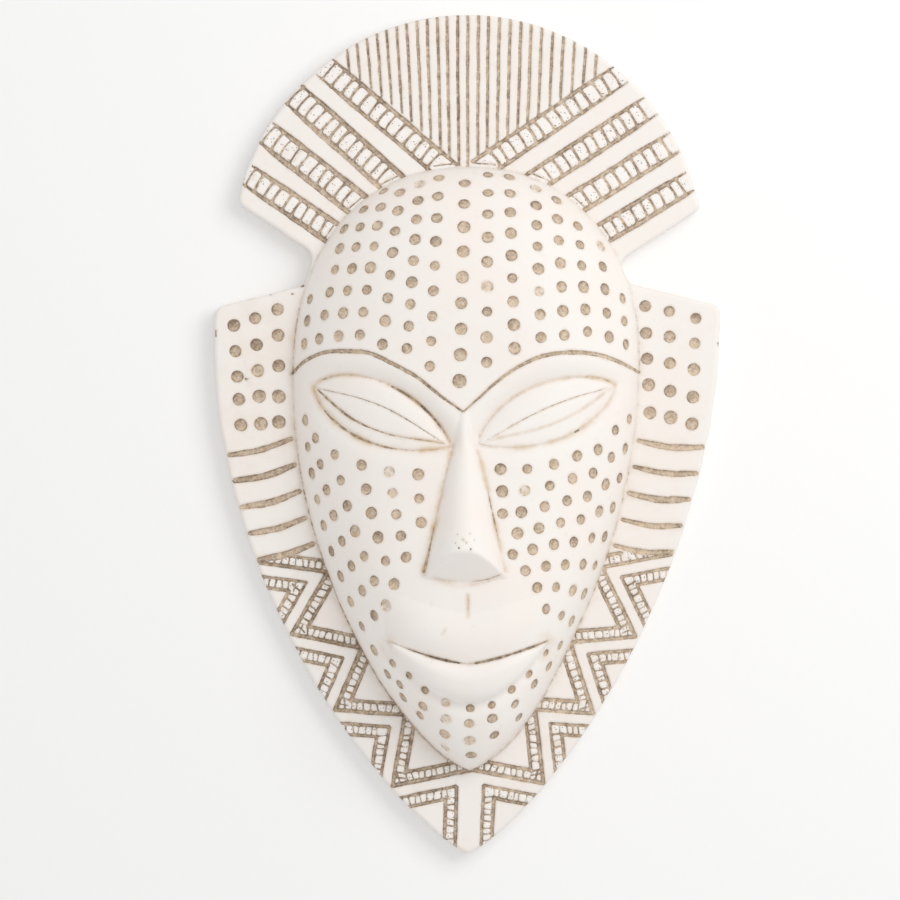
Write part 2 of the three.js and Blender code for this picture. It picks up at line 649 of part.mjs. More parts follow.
// Points of the face in the plane, closest where the form turns: edge, features, dots, then a filling.
function facePoints() {
  const points = [];
  const add = (x, y, clear, z) => {
    if (points.some((p) => Math.hypot(p.x - x, p.y - y) < clear)) return;
    const p = vec(x, y);
    p.z = z ?? faceHeight(x, y);
    points.push(p);
  };
  const ring = (ratio, clear, z) => {
    for (let i = 0; i <= footSteps; i++) {
      for (const side of sides) {
        const p = footPoint(side, i / footSteps, ratio);
        add(p.x, p.y, clear, z);
      }
    }
  };
  // Rows of points beside a line: a groove takes three close rows, an edge or a fold one.
  const follow = (line, shifts, spacing, clear) => {
    const curve = new THREE.SplineCurve(line);
    const count = Math.round(curve.getLength() / spacing);
    for (let i = 0; i <= count; i++) {
      const p = curve.getPointAt(i / count);
      const t = curve.getTangentAt(i / count);
      for (const shift of shifts) {
        const [x, y] = [p.x - t.y * shift, p.y + t.x * shift];
        if (domeRatio(x, y) < featureLimit) add(x, y, clear);
      }
    }
  };
  const trace = (f, from, to) =>
    Array.from({ length: 13 }, (_, i) => f(lerp(from, to, i / 12)));
  const across = (f, half) => trace((x) => vec(x, f(x)), -half, half);

  ring(1, 0.4, plateThick - faceSink);
  follow(across(mouthLine, mouthHalf - 1), [0, 1.4, -1.4], 4.2, 0.5);
  follow(across(lipEdge, mouthHalf - 5), [0.5, -0.6], 4.2, 0.5);
  for (const side of sides) {
    follow(side.browLine, [0, 1.2, -1.2], 5, 0.5);
    const eyeRow = (f, from, to, shifts, spacing, clear) =>
      follow(trace((s) => side.frame.place(s, f(s)), from, to), shifts, spacing, clear);
    eyeRow((s) => lidLine(side, s), 0.1, 0.9, [0, 0.8, -0.8], 5.4, 0.5);
    eyeRow((s) => rimLine(side, s), 0.16, 0.84, [0, 0.9, -0.9], 5.4, 0.5);
    eyeRow((s) => eyeRise * almond(s), 0, 1, [0], 4, 1.2);
    eyeRow((s) => -eyeDrop * almond(s), 0, 1, [0], 4, 1.2);
    eyeRow((s) => eyeRise * almond(s) * 0.85, 0.08, 0.92, [0], 5, 1.6);
    eyeRow((s) => eyeRise * almond(s) * 0.55, 0.12, 0.88, [0], 6, 2.4);
    eyeRow((s) => -eyeDrop * almond(s) * 0.88, 0.1, 0.9, [0], 5, 1.2);
    eyeRow((s) => eyeRise * almond(s) + socketReach * 0.5, -0.05, 1, [0], 6, 2);
    eyeRow((s) => eyeRise * almond(s) + socketReach, -0.05, 1, [0], 7, 2);
    const noseRow = (half) => {
      const besideNose = (y) => vec(noseCentreX + side.sign * half(y), y);
      follow(trace(besideNose, noseTopY - 4, noseBaseY + 5), [0], 6, 1);
    };
    noseRow((y) => noseFootHalf(y) + 0.3);
    noseRow((y) => noseRidgeHalf(y) + 0.6);
  }
  const underNose = (half, endY, middleY) =>
    [vec(noseCentreX - half, endY), vec(noseCentreX, middleY), vec(noseCentreX + half, endY)];
  follow(underNose(11, noseTipY - 4.5, noseTipY + 0.4), [0, -1], 3, 0.45);
  follow(underNose(14, noseBaseY + 3, noseBaseY), [0], 4, 0.45);
  follow(across((x) => lerp(mouthLine(x), lipEdge(x), 0.5), mouthHalf - 10), [0], 5, 1);
  follow(across((x) => mouthLine(x) + upperLipHeight * 0.4, mouthHalf - 8), [0], 6, 1);
  follow(across((x) => mouthLine(x) + upperLipHeight, mouthHalf - 12), [0], 7, 1);
  for (const [x, y] of faceDots()) {
    const slope = domeSlope(x, y);
    const steep = Math.hypot(1, slope.length());
    const downhill = slope.angle();
    add(x, y, 1, faceHeight(x, y) - dotDepth * Math.min(steep, steepestDot));
    for (let i = 0; i < dotSides; i++) {
      const turn = (2 * Math.PI * i) / dotSides;
      const rim = vec((dotRadius * Math.cos(turn)) / steep, dotRadius * Math.sin(turn));
      rim.rotateAround(vec(0, 0), downhill).add(vec(x, y));
      if (domeRatio(rim.x, rim.y) < 0.995) add(rim.x, rim.y, 0.5);
    }
  }
  for (const ratio of [0.965, 0.9]) ring(ratio, 3.6);
  for (let y = cheekY - chinReach; y < cheekY + foreheadReach; y += filling) {
    for (let x = -cheekHalf; x < cheekHalf; x += filling) {
      if (domeRatio(x, y) < 0.88) add(x, y, filling * 0.6);
    }
  }
  return points;
}

// The domed face: the joined points above, a flat bottom inside the plate, and a wall between them.
function faceSolid() {
  const points = facePoints();
  const top = triangulate(points);
  const count = points.length;
  const seat = plateThick - 4;
  const corners = [...points.map((p) => [p.x, p.y, p.z]), ...points.map((p) => [p.x, p.y, seat])];
  const faces = [];
  const edges = new Map();
  for (const [a, b, c] of top) {
    faces.push([a, b, c], [c + count, b + count, a + count]);
    for (const [u, v] of [[a, b], [b, c], [c, a]]) {
      if (!edges.delete(v + "," + u)) edges.set(u + "," + v, [u, v]);
    }
  }
  for (const [u, v] of edges.values()) {
    faces.push([u, u + count, v + count], [u, v + count, v]);
  }
  return toSolid(fromPoints(corners, faces));
}

// The hollow behind the face: the dome's form drawn in from the edges, one wall lower, open at the back.
function cavitySolid() {
  const centre = vec(0, -10);
  const turns = 34;
  const rings = [1, 0.94, 0.84, 0.7, 0.5, 0.25];
  const points = [];
  const reach = (turn) => {
    let r = 20;
    const at = () => domeRatio(centre.x + r * Math.cos(turn), centre.y + r * Math.sin(turn));
    while (at() < 1) r += 0.25;
    return r;
  };
  const faces = [];
  const rows = [null, ...rings];
  rows.forEach((ring, row) => {
    for (let i = 0; i < turns; i++) {
      const turn = (2 * Math.PI * i) / turns;
      const out = vec(Math.cos(turn), Math.sin(turn));
      const full = reach(turn);
      const inner = centre.clone().addScaledVector(out, (full - cavityInset) * (ring ?? 1));
      const outer = centre.clone().addScaledVector(out, full * (ring ?? 1));
      const z = ring === null ? -1 : plateThick + domeHeight(outer.x, outer.y) - wall;
      points.push([inner.x, inner.y, z]);
      if (row === 0) continue;
      const [a, b] = [row * turns + i, row * turns + ((i + 1) % turns)];
      faces.push([a - turns, b - turns, b], [a - turns, b, a]);
    }
  });
  const [bottom, topId] = [points.length, points.length + 1];
  points.push([centre.x, centre.y, -1]);
  points.push([centre.x, centre.y, plateThick + domeHeight(centre.x, centre.y) - wall]);
  for (let i = 0; i < turns; i++) {
    const next = (i + 1) % turns;
    const row = rings.length * turns;
    faces.push([bottom, next, i], [topId, row + i, row + next]);
  }
  return toSolid(fromPoints(points, faces));
}

const carving = wasm.Manifold.union([...crestCarving(), ...shieldCarving()]);
const solid = plateSolid().subtract(carving).add(faceSolid()).subtract(cavitySolid());
const made = solid.getMesh();

const geometry = new THREE.BufferGeometry();
geometry.setAttribute("position", new THREE.BufferAttribute(made.vertProperties, 3));
geometry.setIndex(new THREE.BufferAttribute(made.triVerts, 1));
geometry.computeVertexNormals();

const resin = new THREE.MeshStandardMaterial({ color: 0xefe9e3, roughness: 0.75, metalness: 0 });
const mask = new THREE.Mesh(geometry, resin);
mask.name = "mask";

const group = new THREE.Group();
group.add(mask);

export default group;
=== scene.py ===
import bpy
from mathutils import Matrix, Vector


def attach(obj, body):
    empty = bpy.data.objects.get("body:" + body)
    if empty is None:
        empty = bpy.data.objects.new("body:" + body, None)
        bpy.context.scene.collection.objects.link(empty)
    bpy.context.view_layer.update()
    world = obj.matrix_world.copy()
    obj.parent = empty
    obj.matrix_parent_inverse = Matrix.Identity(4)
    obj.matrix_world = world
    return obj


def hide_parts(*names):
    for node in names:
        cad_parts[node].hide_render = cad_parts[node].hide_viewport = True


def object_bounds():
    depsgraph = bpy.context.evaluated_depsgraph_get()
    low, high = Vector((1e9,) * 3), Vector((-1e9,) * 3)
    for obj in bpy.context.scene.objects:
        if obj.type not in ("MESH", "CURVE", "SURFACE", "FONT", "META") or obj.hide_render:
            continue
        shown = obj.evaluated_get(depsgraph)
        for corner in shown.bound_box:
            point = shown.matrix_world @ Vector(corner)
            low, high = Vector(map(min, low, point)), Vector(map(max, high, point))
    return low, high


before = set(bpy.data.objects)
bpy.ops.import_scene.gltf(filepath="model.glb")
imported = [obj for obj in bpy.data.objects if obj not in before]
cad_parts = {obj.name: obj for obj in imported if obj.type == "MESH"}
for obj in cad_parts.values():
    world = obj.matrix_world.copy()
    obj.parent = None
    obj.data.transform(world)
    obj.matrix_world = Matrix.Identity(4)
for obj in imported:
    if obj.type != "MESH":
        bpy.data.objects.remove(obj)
CAD_BOX = [list(corner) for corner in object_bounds()]

import math

import bpy
import numpy as np
from bpy.props import FloatProperty, FloatVectorProperty, IntProperty, PointerProperty
from bpy.types import Operator, Panel, PropertyGroup
from mathutils import Vector, geometry

bl_info = {
    "name": "Cast Wall Mask",
    "version": (1, 0, 0),
    "blender": (4, 5, 0),
    "location": "3D View > Sidebar > Wall Mask",
    "description": "Builds a cast resin wall mask with brown wash in its carving, and its stage",
    "category": "Object",
}

MM = 0.001
MASK_HEIGHT = (CAD_BOX[1][1] - CAD_BOX[0][1]) / MM

# Sizes of the form, in millimetres
RASTER = 0.2
FAR = 3.0
CREST_CENTRE_Y = 76.8
CREST_RADIUS = MASK_HEIGHT / 2 - CREST_CENTRE_Y
WING_TOP_Y, SHIELD_HALF, SHIELD_TOP_Y, SHIELD_REACH = 46.0, 105.7, 39.3, 214.3
CHEEK_HALF, CHEEK_Y, FOREHEAD_REACH, CHIN_REACH = 72.1, 27.6, 83.9, 168.0
MUZZLE_Y, MUZZLE_SPREAD = -75.0, 25.0
NOSE_X, NOSE_TOP_Y, NOSE_TIP_Y, NOSE_BASE_Y = -1.3, 9.0, -48.0, -61.4
MOUTH_Y, MOUTH_HALF, MOUTH_LIFT = -95.5, 34.0, 9.8
LIP_EDGE_Y, LIP_EDGE_LIFT, UPPER_LIP_HEIGHT = -111.2, 24.0, 21.0
EYE_LENGTH = 62.0
SOCKET_TOP, SOCKET_BOTTOM, SOCKET_REACH = 5.2, 1.8, 9.0
BROW_V = (-2.0, 9.2)
ZIGZAG_WIDTH, CHEVRON_GAP, WING_GROOVES, WING_PITCH = 4.5, 5.4, 5, 10.95
MIDLINE_BOW, MIDLINE_TOP_Y, MIDLINE_SPAN, CHIN_DRIFT = -1.5, 60, 230, 1.4
NOSE_FOOT_HALF, NOSE_FOOT_Y, NOSE_FOOT_SPREAD, NOSE_FOOT_PINCH = 5.4, -9, 0.25, 1.1
VALLEY_DEPTH, VALLEY_DROP, VALLEY_WIDTH = 2.0, 1.6, 3.2
LINE_MARGIN, LINE_STEP = 1.6, 6
FLUTES, FLUTE_X, FLUTE_PITCH, FLUTE_GROWTH, FLUTE_SHORTEST = 25, -50.4, 4.06, 0.0118, 3
CREST_RUNG_PITCH, RIBBON_RUNG_PITCH, RIBBON_RUNG_HALF = 4.65, 2.75, 0.33
RIM_INSETS = (0.25, 0.6, 1.15, 1.8, 2.6)
EDGE_RINGS = ((0.0, 5.0), (0.0, 0.8), (0.25, 0.2))
BACK_INSET, BACK_PITCH = 0.8, 9.0
# Where the skin's mesh is finest: middle x, half width, lowest and highest y of nose, mouth and eyes
FEATURES = ((NOSE_X, 18, -66, 12), (0, 38, -118, -68), (0, 68, -20, 34))
HOLLOW_Y, HOLLOW_TURNS, HOLLOW_RINGS, HOLLOW_LOWEST = -10, 120, 25, 1.6

# Random fields: cells along a side of the table, and where in it the mask's middle falls
PATCH_CELLS, PATCH_START = 64, (512.3, 512.7)
# Painted highlight on the raised beads: the lightest resin, as the light values the shader wants
BEAD_PAINTED_HIGHLIGHT = (0.99, 0.955, 0.925, 1)

# The stage, in metres: where the key lamp hangs, its colour, and how far the floor lies under the mask
KEY_PLACE, KEY_COLOR, FLOOR_DROP = (0.55, 0.41, 0.87), (1.0, 0.985, 0.965), 0.0002
PAPER_COLORS = ((0.98, 0.98, 0.98, 1), (0.995, 0.995, 0.995, 1))
SENSOR_WIDTH_MM, VIEW_END = 36.0, 100.0

# The two sides were carved freely and differ a little. Lengths are counted outwards from the middle,
# but the forehead's dots stand where their x says.
# bands: each ladder band of the crest as degrees from the vertical at the rim, slope, both rails'
# distances from the middle, their half width, and where the first rung stands.
# inner_zigzag, outer_zigzag: heights of the ribbon's corners at the dome's foot and near the edge.
# wing_line: height of the first groove, its rise to the edge, sag and half width.
# wing_dots: each column's x, lean and heights. wing_dot_size: at the top and at the bottom.
# brow: points of its groove. eye: its outer and inner corner.
# top, bottom: greatest height of an eye's edge and the almond's two powers. lid, rim: of the eyeball.
# forehead: columns of dots as foot x, foot y, pitch, lean and count. cheek: columns as distance in from
# the footprint's edge, top y, pitch, drift of that distance and count.
# eye_strokes: line, its start and end, half width, tone and cover of the wash.
# nose_dark: first and last point of the dark part of the nose's foot line, and half widths.
# foot_cover: cover of the wash on the dome's foot line, beside the wings and below them.
# eye_stain, corner_stain, nose_stain, foot_stain: strength of the ochre stains, and where the one
# along the eye's upper edge starts and ends.
SIDES = (
    {
        "sign": 1,
        "crest_corner": (98.4, 94.6),
        "notch": ((63.3, 72.2), (67.4, 62.8)),
        "wing_corner": (105.6, 53.8),
        "bands": (
            (41, 34, -4.75, 3.9, 0.82, 1.6), (51.7, 33.1, -4.35, 4.4, 0.92, 2.5),
            (62, 31.9, -3.6, 5.2, 1.0, 2.8), (73, 30.9, -3.9, 4.2, 1.0, 2.7),
        ),
        "rung_half": 0.58,
        "inner_zigzag": (-55.6, -87.1, -115.1, -140.3),
        "outer_zigzag": (-50.5, -84.8, -116.7, -145.8),
        "wing_line": (-2.9, -2.6, 1.4, 1.16),
        "wing_dots": (
            (75.2, -0.045, (53.4, 42.2, 31.4, 20.5, 8.8)), (84.5, -0.014, (51.1, 40.6, 29.5, 17.9, 6.8)),
            (94.5, 0.036, (48.2, 37.9, 26.9, 15.5, 4.2)),
        ),
        "wing_dot_size": (1.0, 1.2),
        "brow": (
            (5.1, 15.5), (10.1, 20), (17.6, 25.9), (26, 30.5), (34.4, 33), (42.7, 33.8), (51.1, 33.4),
            (59.4, 31.3), (65.3, 28.8), (71.6, 25.6),
        ),
        "eye": ((61.5, 20.3), (4.3, -4.2)),
        "top": (12.7, 0.75, 0.7),
        "bottom": (11.5, 0.74, 0.9),
        "lid": 2.5,
        "rim": 4.7,
        "forehead": (
            (-3.5, 21.9, 10.8, 0.028, 10), (7.8, 29.6, 10.5, 0.007, 9), (19.3, 35.5, 9.7, -0.028, 9),
            (30.3, 40, 9.6, -0.033, 8), (40.1, 41, 10.1, -0.056, 7), (49.8, 42.6, 9.3, -0.089, 6),
            (58.8, 40.4, 10, -0.089, 5), (65.9, 37.4, 9.7, -0.065, 3),
        ),
        "cheek": (
            (2.9, 6.2, 12.45, -0.01, 8), (8.3, 1.5, 11.4, -0.01, 8), (14.5, -6.6, 9.8, -0.035, 8),
            (22.8, -9.2, 9.4, -0.025, 7), (31.9, -12.5, 9.1, 0, 6), (42.6, -14.5, 9.1, 0.085, 5),
            (53.7, -14.5, 9.4, 0.265, 3),
        ),
        "eye_strokes": (
            ("top", 0.03, 0.34, 0.42, -0.1, 0.6), ("top", 0.3, 0.97, 0.22, -0.2, 0.4),
            ("bottom", 0, 1, 0.25, -0.3, 0.3), ("bottom", 0.34, 0.38, 0.4, 1.1, 1),
            ("rim", 0.04, 0.94, 0.25, -0.3, 0.25), ("lid", 0.06, 0.94, 0.22, 0.35, 0.9),
        ),
        "nose_dark": (11, 32, (0.1, 0.35, 0.4, 0.15)),
        "foot_cover": (0.5, 0.6),
        "eye_stain": 0.75,
        "corner_stain": (0.0, 0.3),
        "nose_stain": 0.6,
        "foot_stain": 0.25,
    },
    {
        "sign": -1,
        "crest_corner": (96.6, 96.6),
        "notch": ((64.4, 75.2), (68, 62.2)),
        "wing_corner": (105.6, 52.8),
        "bands": (
            (37.7, 40.3, -4.7, 4.35, 0.92, 1.4), (48.3, 41.9, -4.75, 5.1, 1.15, -0.9),
            (59.8, 38.3, -5, 4.6, 1.2, -0.5), (71, 34.5, -4.95, 3.6, 1.1, -0.2),
        ),
        "rung_half": 0.52,
        "inner_zigzag": (-57.6, -89.4, -117.4, -140.5),
        "outer_zigzag": (-53.9, -83.5, -115.3, -147),
        "wing_line": (-2.1, -6.6, 1.2, 1.24),
        "wing_dots": (
            (79.1, 0.01, (52.0, 41.3, 28.5, 15.7, 5.0)), (87.7, 0.05, (48.3, 37.3, 26.5, 15.6, 4.2)),
            (96.5, 0.07, (45.3, 34.5, 23.9, 14.4, 3.6)),
        ),
        "wing_dot_size": (1.1, 1.17),
        "brow": (
            (6.6, 12.4), (11.9, 16.1), (21.5, 23.8), (31.1, 29.1), (40.7, 33.4), (50.3, 34.3), (59.9, 33.8),
            (68, 30.3), (73.2, 25.3),
        ),
        "eye": ((64.2, 19.6), (7.4, -5)),
        "top": (13.2, 0.63, 0.79),
        "bottom": (12.0, 0.74, 0.9),
        "lid": 3.9,
        "rim": 6.5,
        "forehead": (
            (-15.7, 27.9, 10.5, 0.047, 9), (-25.2, 35.4, 9.2, 0.073, 10), (-35.4, 37, 9.7, 0.111, 8),
            (-44.9, 41, 9.5, 0.16, 8), (-53.8, 40.6, 9.6, 0.195, 7), (-61.9, 39.5, 9.9, 0.223, 6),
            (-68.2, 37.6, 9.5, 0.13, 3),
        ),
        "cheek": (
            (4.4, 5.7, 11.1, -0.006, 12), (8.1, -1.7, 10.9, -0.056, 8), (15.4, -8.6, 10.8, -0.057, 7),
            (25.9, -13, 10.2, -0.007, 6), (37, -15.7, 9.1, 0.05, 5), (48.8, -16.8, 10.2, 0.155, 3),
        ),
        "eye_strokes": (
            ("top", 0.02, 0.3, 0.3, 0.1, 0.6), ("top", 0.48, 0.93, 0.55, 0.45, 0.92),
            ("top", 0.2, 1, 0.22, -0.1, 0.7), ("bottom", 0.12, 0.66, 0.52, 0.45, 0.93),
            ("bottom", 0, 1, 0.28, -0.1, 0.7), ("rim", 0.03, 0.45, 0.5, 0.5, 0.95),
            ("rim", 0.3, 0.96, 0.32, 0.15, 0.85), ("lid", 0.03, 0.96, 0.24, 0.45, 0.97),
        ),
        "nose_dark": (22, 40, (0.1, 0.25, 0.5, 0.75)),
        "foot_cover": (0.72, 0.92),
        "eye_stain": 1.4,
        "corner_stain": (0.5, 1.0),
        "nose_stain": 0.95,
        "foot_stain": 0.7,
    },
)

# The small dots under the lower lip with three larger ones beside the mouth: x, y, size.
LIP_DOTS = (
    (-31.3, -95.3, 0.8), (-24.4, -100.4, 0.8), (-17.8, -106.5, 0.8), (-9.3, -111.6, 0.8),
    (0.9, -113.9, 0.8), (9.8, -112.5, 0.8), (18.3, -106.2, 0.8), (25.5, -99.9, 0.8), (32.5, -91.1, 0.8),
    (38.5, -88, 1), (33.9, -96.8, 1), (27.8, -104, 1),
)
# Rows of dots round the chin below them: lowest y, its x, rise at 30 from there, first x, pitch, count.
CHIN_ROWS = (
    (-120.2, 0, 18, -28.3, 9.6, 6), (-127.5, 1.2, 21, -19.9, 10.3, 5), (-133.7, 1.4, 25, -9.5, 10.9, 2),
)
# The dots that hold hardly any wash, and how near a dot's centre has to be to one of these points.
PALE_DOTS = (
    (29.7, 59.1), (23.6, -23.5), (8, 61.1), (-34.1, -71.1), (-31.4, -24.7), (28.2, 102.3), (-32.6, -15.7),
    (0.7, -127.5), (-9.1, -118.5), (-9.3, -111.6), (55.4, 78.5), (-20.2, 104.1), (-9.5, -130.4),
)
PALE_REACH = 2.5
# Casting pinholes above the tip of the nose: x, y, radius.
PINHOLES = (
    (-3.7, -47.2, 0.42), (1.2, -47.6, 0.38), (-4.4, -41.5, 0.2), (-2.1, -43.6, 0.22),
    (0.9, -41.2, 0.16), (2.6, -43.9, 0.2), (-5.2, -45.1, 0.18), (-0.6, -44.9, 0.15),
)
# Dark flecks on the plate's rim, a chip at the left notch and a pit beside the left wing's dots: two
# ends and a half width.
FLECKS = (
    ((-92.3, 56.6), (-89.5, 57.2), 0.3), ((-82.5, 58.1), (-81.9, 58.2), 0.3),
    ((-73.6, 58.4), (-72.8, 58.4), 0.3), ((-105.1, 43.4), (-105.1, 40.6), 0.3),
    ((-92.7, 22.9), (-92.3, 22.7), 0.55), ((104.6, 38.2), (104.7, 36.9), 0.3),
    ((-96.3, 83.4), (-95.4, 82.6), 0.3), ((97.6, 80.4), (98, 79.6), 0.3),
    ((-69.6, 61.6), (-68.6, 61.8), 0.5),
)


# Small helpers on whole arrays

def smooth(low, high, value):
    """Smooth step: 0 below low, 1 above high, and 3t2 - 2t3 between."""
    t = np.clip((value - low) / (high - low), 0, 1)
    return t * t * (3 - 2 * t)


def soft_min(a, b, k):
    """The smaller of two heights, with the corner between them rounded over about k."""
    h = np.clip(0.5 + (b - a) / (2 * k), 0, 1)
    return b + (a - b) * h - k * h * (1 - h)


def patches(x, y, cell, seed):
    """Smooth random field from -1 to 1: a seeded grid of random numbers with one value each cell,
    blended between its corners by smooth steps."""
    table = np.random.default_rng(seed).uniform(-1, 1, (PATCH_CELLS, PATCH_CELLS))
    u, v = x / cell + PATCH_START[0], y / cell + PATCH_START[1]
    i, j = np.floor(u).astype(int), np.floor(v).astype(int)
    fu, fv = smooth(0, 1, u - i), smooth(0, 1, v - j)

    def at(di, dj):
        """The value at a corner of each place's cell."""
        return table[(i + di) % PATCH_CELLS, (j + dj) % PATCH_CELLS]

    low = at(0, 0) * (1 - fu) + at(1, 0) * fu
    high = at(0, 1) * (1 - fu) + at(1, 1) * fu
    return low * (1 - fv) + high * fv


def resample(line, spacing):
    """A line of points cut into equal steps of about the spacing, along its length."""
    line = np.asarray(line, float)
    run = np.concatenate([[0], np.cumsum(np.hypot(*np.diff(line, axis=0).T))])
    t = np.linspace(0, run[-1], max(int(round(run[-1] / spacing)), 1) + 1)
    return np.stack([np.interp(t, run, line[:, 0]), np.interp(t, run, line[:, 1])], 1)


def curve(points, count=40):
    """A smooth line through points: cubic pieces whose slope at a point follows its neighbours."""
    p = np.asarray(points, float)
    p = np.concatenate([[2 * p[0] - p[1]], p, [2 * p[-1] - p[-2]]])
    t = np.linspace(0, len(p) - 3 - 1e-9, count)
    i = np.floor(t).astype(int)
    f = (t - i)[:, None]
    a, b, c, d = p[i], p[i + 1], p[i + 2], p[i + 3]
    square, cube = 2 * a - 5 * b + 4 * c - d, 3 * b - a - 3 * c + d
    return 0.5 * (2 * b + (c - a) * f + square * f ** 2 + cube * f ** 3)


def inwards(outline):
    """The direction into a closed counter-clockwise outline at each of its points."""
    ahead = np.roll(outline, -1, 0) - np.roll(outline, 1, 0)
    return np.stack([-ahead[:, 1], ahead[:, 0]], 1) / np.hypot(*ahead.T)[:, None]


def points_on(x, y):
    """Two arrays, or an array and a number, as one array of points."""
    return np.stack(np.broadcast_arrays(x, y), -1)


# The plain forms of the mask

def midline(y):
    """The mask's middle bows a little to the left between the wings and the tip: half a sine."""
    return MIDLINE_BOW * np.sin(np.pi * np.clip((MIDLINE_TOP_Y - y) / MIDLINE_SPAN, 0, 1))


def shield_half_width(y):
    """Half width of the shield: full at its top, closing to the tip as (1 - t^1.8)^0.785."""
    t = np.clip((SHIELD_TOP_Y - y) / SHIELD_REACH, 0, 1)
    return SHIELD_HALF * (1 - t ** 1.8) ** 0.785


def face_middle(y):
    """The face's middle follows the mask's, and comes back to the right towards the chin."""
    return midline(y) + CHIN_DRIFT * smooth(-85, -130, y)


def foot_half_width(y):
    """Half width of the face's footprint: a superellipse above the cheeks, and below them a pointed
    oval (1 - t^2)^0.79 that is a little fuller at the chin."""
    above = (1 - np.clip((y - CHEEK_Y) / FOREHEAD_REACH, 0, 1) ** 2.2) ** (1 / 2.2)
    t = np.clip((CHEEK_Y - y) / CHIN_REACH, 0, 1)
    below = (1 - t ** 2) ** (0.79 - 0.06 * smooth(0.6, 0.9, t))
    return CHEEK_HALF * np.where(np.asarray(y) > CHEEK_Y, above, below)


def foot_heights(t, top_share):
    """Heights down the face's footprint at the shares t: a quarter cosine from the forehead to the
    cheeks over the top share, and a quarter sine from there to the chin."""
    return CHEEK_Y + np.where(
        t < top_share,
        FOREHEAD_REACH * np.cos(np.pi / 2 * t / top_share),
        -CHIN_REACH * np.sin(np.pi / 2 * (t - top_share) / (1 - top_share)),
    )


def foot_line(sign, y, out):
    """The points beside the face's footprint on one side, a little way out from it."""
    return points_on(face_middle(y) + sign * (foot_half_width(y) + out), y)


def dome_ratio(x, y):
    """How far out a point lies on the dome: 0 on the middle line, 1 on the footprint's edge."""
    across = np.abs(x - face_middle(y))
    up = np.clip(y - CHEEK_Y, 0, None) / FOREHEAD_REACH
    above = ((across / CHEEK_HALF) ** 2.2 + up ** 2.2) ** (1 / 2.2)
    below = np.where(y < CHEEK_Y - CHIN_REACH, 9, across / np.maximum(foot_half_width(y), 0.01))
    return np.where(y > CHEEK_Y, above, below)


def dome_height(form, x, y):
    """Bare dome over the plate: rise times (1 - ratio^2.9)^0.67, fuller round the mouth, and lower
    towards the chin by (1 - t^8)^0.6."""
    fall = np.clip(1 - dome_ratio(x, y) ** 2.9, 0, None) ** 0.67
    to_chin = np.clip((CHEEK_Y - y) / CHIN_REACH, 0, 1)
    muzzle = form.muzzle_rise / MM * np.exp(-(((y - MUZZLE_Y) / MUZZLE_SPREAD) ** 2) / 2) * (y < CHEEK_Y)
    return (form.dome_rise / MM + muzzle) * (1 - to_chin ** 8) ** 0.6 * fall


def nose_foot(y):
    """Half width of the nose where its sides meet the cheeks: it spreads evenly downwards, less a
    pinch that grows in towards the tip."""
    return NOSE_FOOT_HALF + NOSE_FOOT_SPREAD * (NOSE_FOOT_Y - y) - NOSE_FOOT_PINCH * smooth(-15, -60, y)


def nose_height(form, x, y):
    """A ridge that grows towards the tip and is rounded across as (1 - (a/foot)^2.1)^1.1, cut off
    underneath by a slope, with a soft edge between the two."""
    across = np.abs(x - NOSE_X)
    grow = np.clip((NOSE_TOP_Y + 4 - y) / (NOSE_TOP_Y + 4 - NOSE_TIP_Y), 0, 2)
    ridge = form.nose_rise / MM * grow ** 1.3
    part = np.clip(across / np.maximum(nose_foot(y) + 0.6, 2), 0, 1)
    crown = ridge * (1 - part ** 2.1) ** 1.1
    under = np.clip(y - NOSE_BASE_Y - 1.5 * (across / 17) ** 2, 0, None) * 1.25
    return soft_min(crown, under, 1.6 * smooth(0, 4, crown) + 0.02)


def almond(s, p, q):
    """Height of an almond's edge over its chord, s^p (1-s)^q, scaled to 1 at its fullest."""
    s = np.clip(s, 0, 1)
    peak = p / (p + q)
    return s ** p * (1 - s) ** q / (peak ** p * (1 - peak) ** q)


def eye_axes(side):
    """The outer corner of an eye, the unit direction to the inner one, and the direction across."""
    outer = np.array([side["sign"] * side["eye"][0][0], side["eye"][0][1]])
    inner = np.array([side["sign"] * side["eye"][1][0], side["eye"][1][1]])
    along = (inner - outer) / np.hypot(*(inner - outer))
    up = np.array([-along[1], along[0]]) * -side["sign"]
    return outer, along, up


EYE_LINES = {
    "top": lambda side, s: side["top"][0] * almond(s, *side["top"][1:]),
    "bottom": lambda side, s: -side["bottom"][0] * almond(s, *side["bottom"][1:]),
    "lid": lambda side, s: side["lid"] * almond(s, 1.5, 1.7),
    "rim": lambda side, s: -side["rim"] * almond(s, 1.4, 1.75),
}


def eye_line(side, name, start=0.0, end=1.0, count=48):
    """One of an eye's lines as points: its height over the chord at steps along the eye."""
    outer, along, up = eye_axes(side)
    s = start + (end - start) * (0.5 - 0.5 * np.cos(np.linspace(0, np.pi, count)))
    return outer + np.outer(s * EYE_LENGTH, along) + np.outer(EYE_LINES[name](side, s), up)


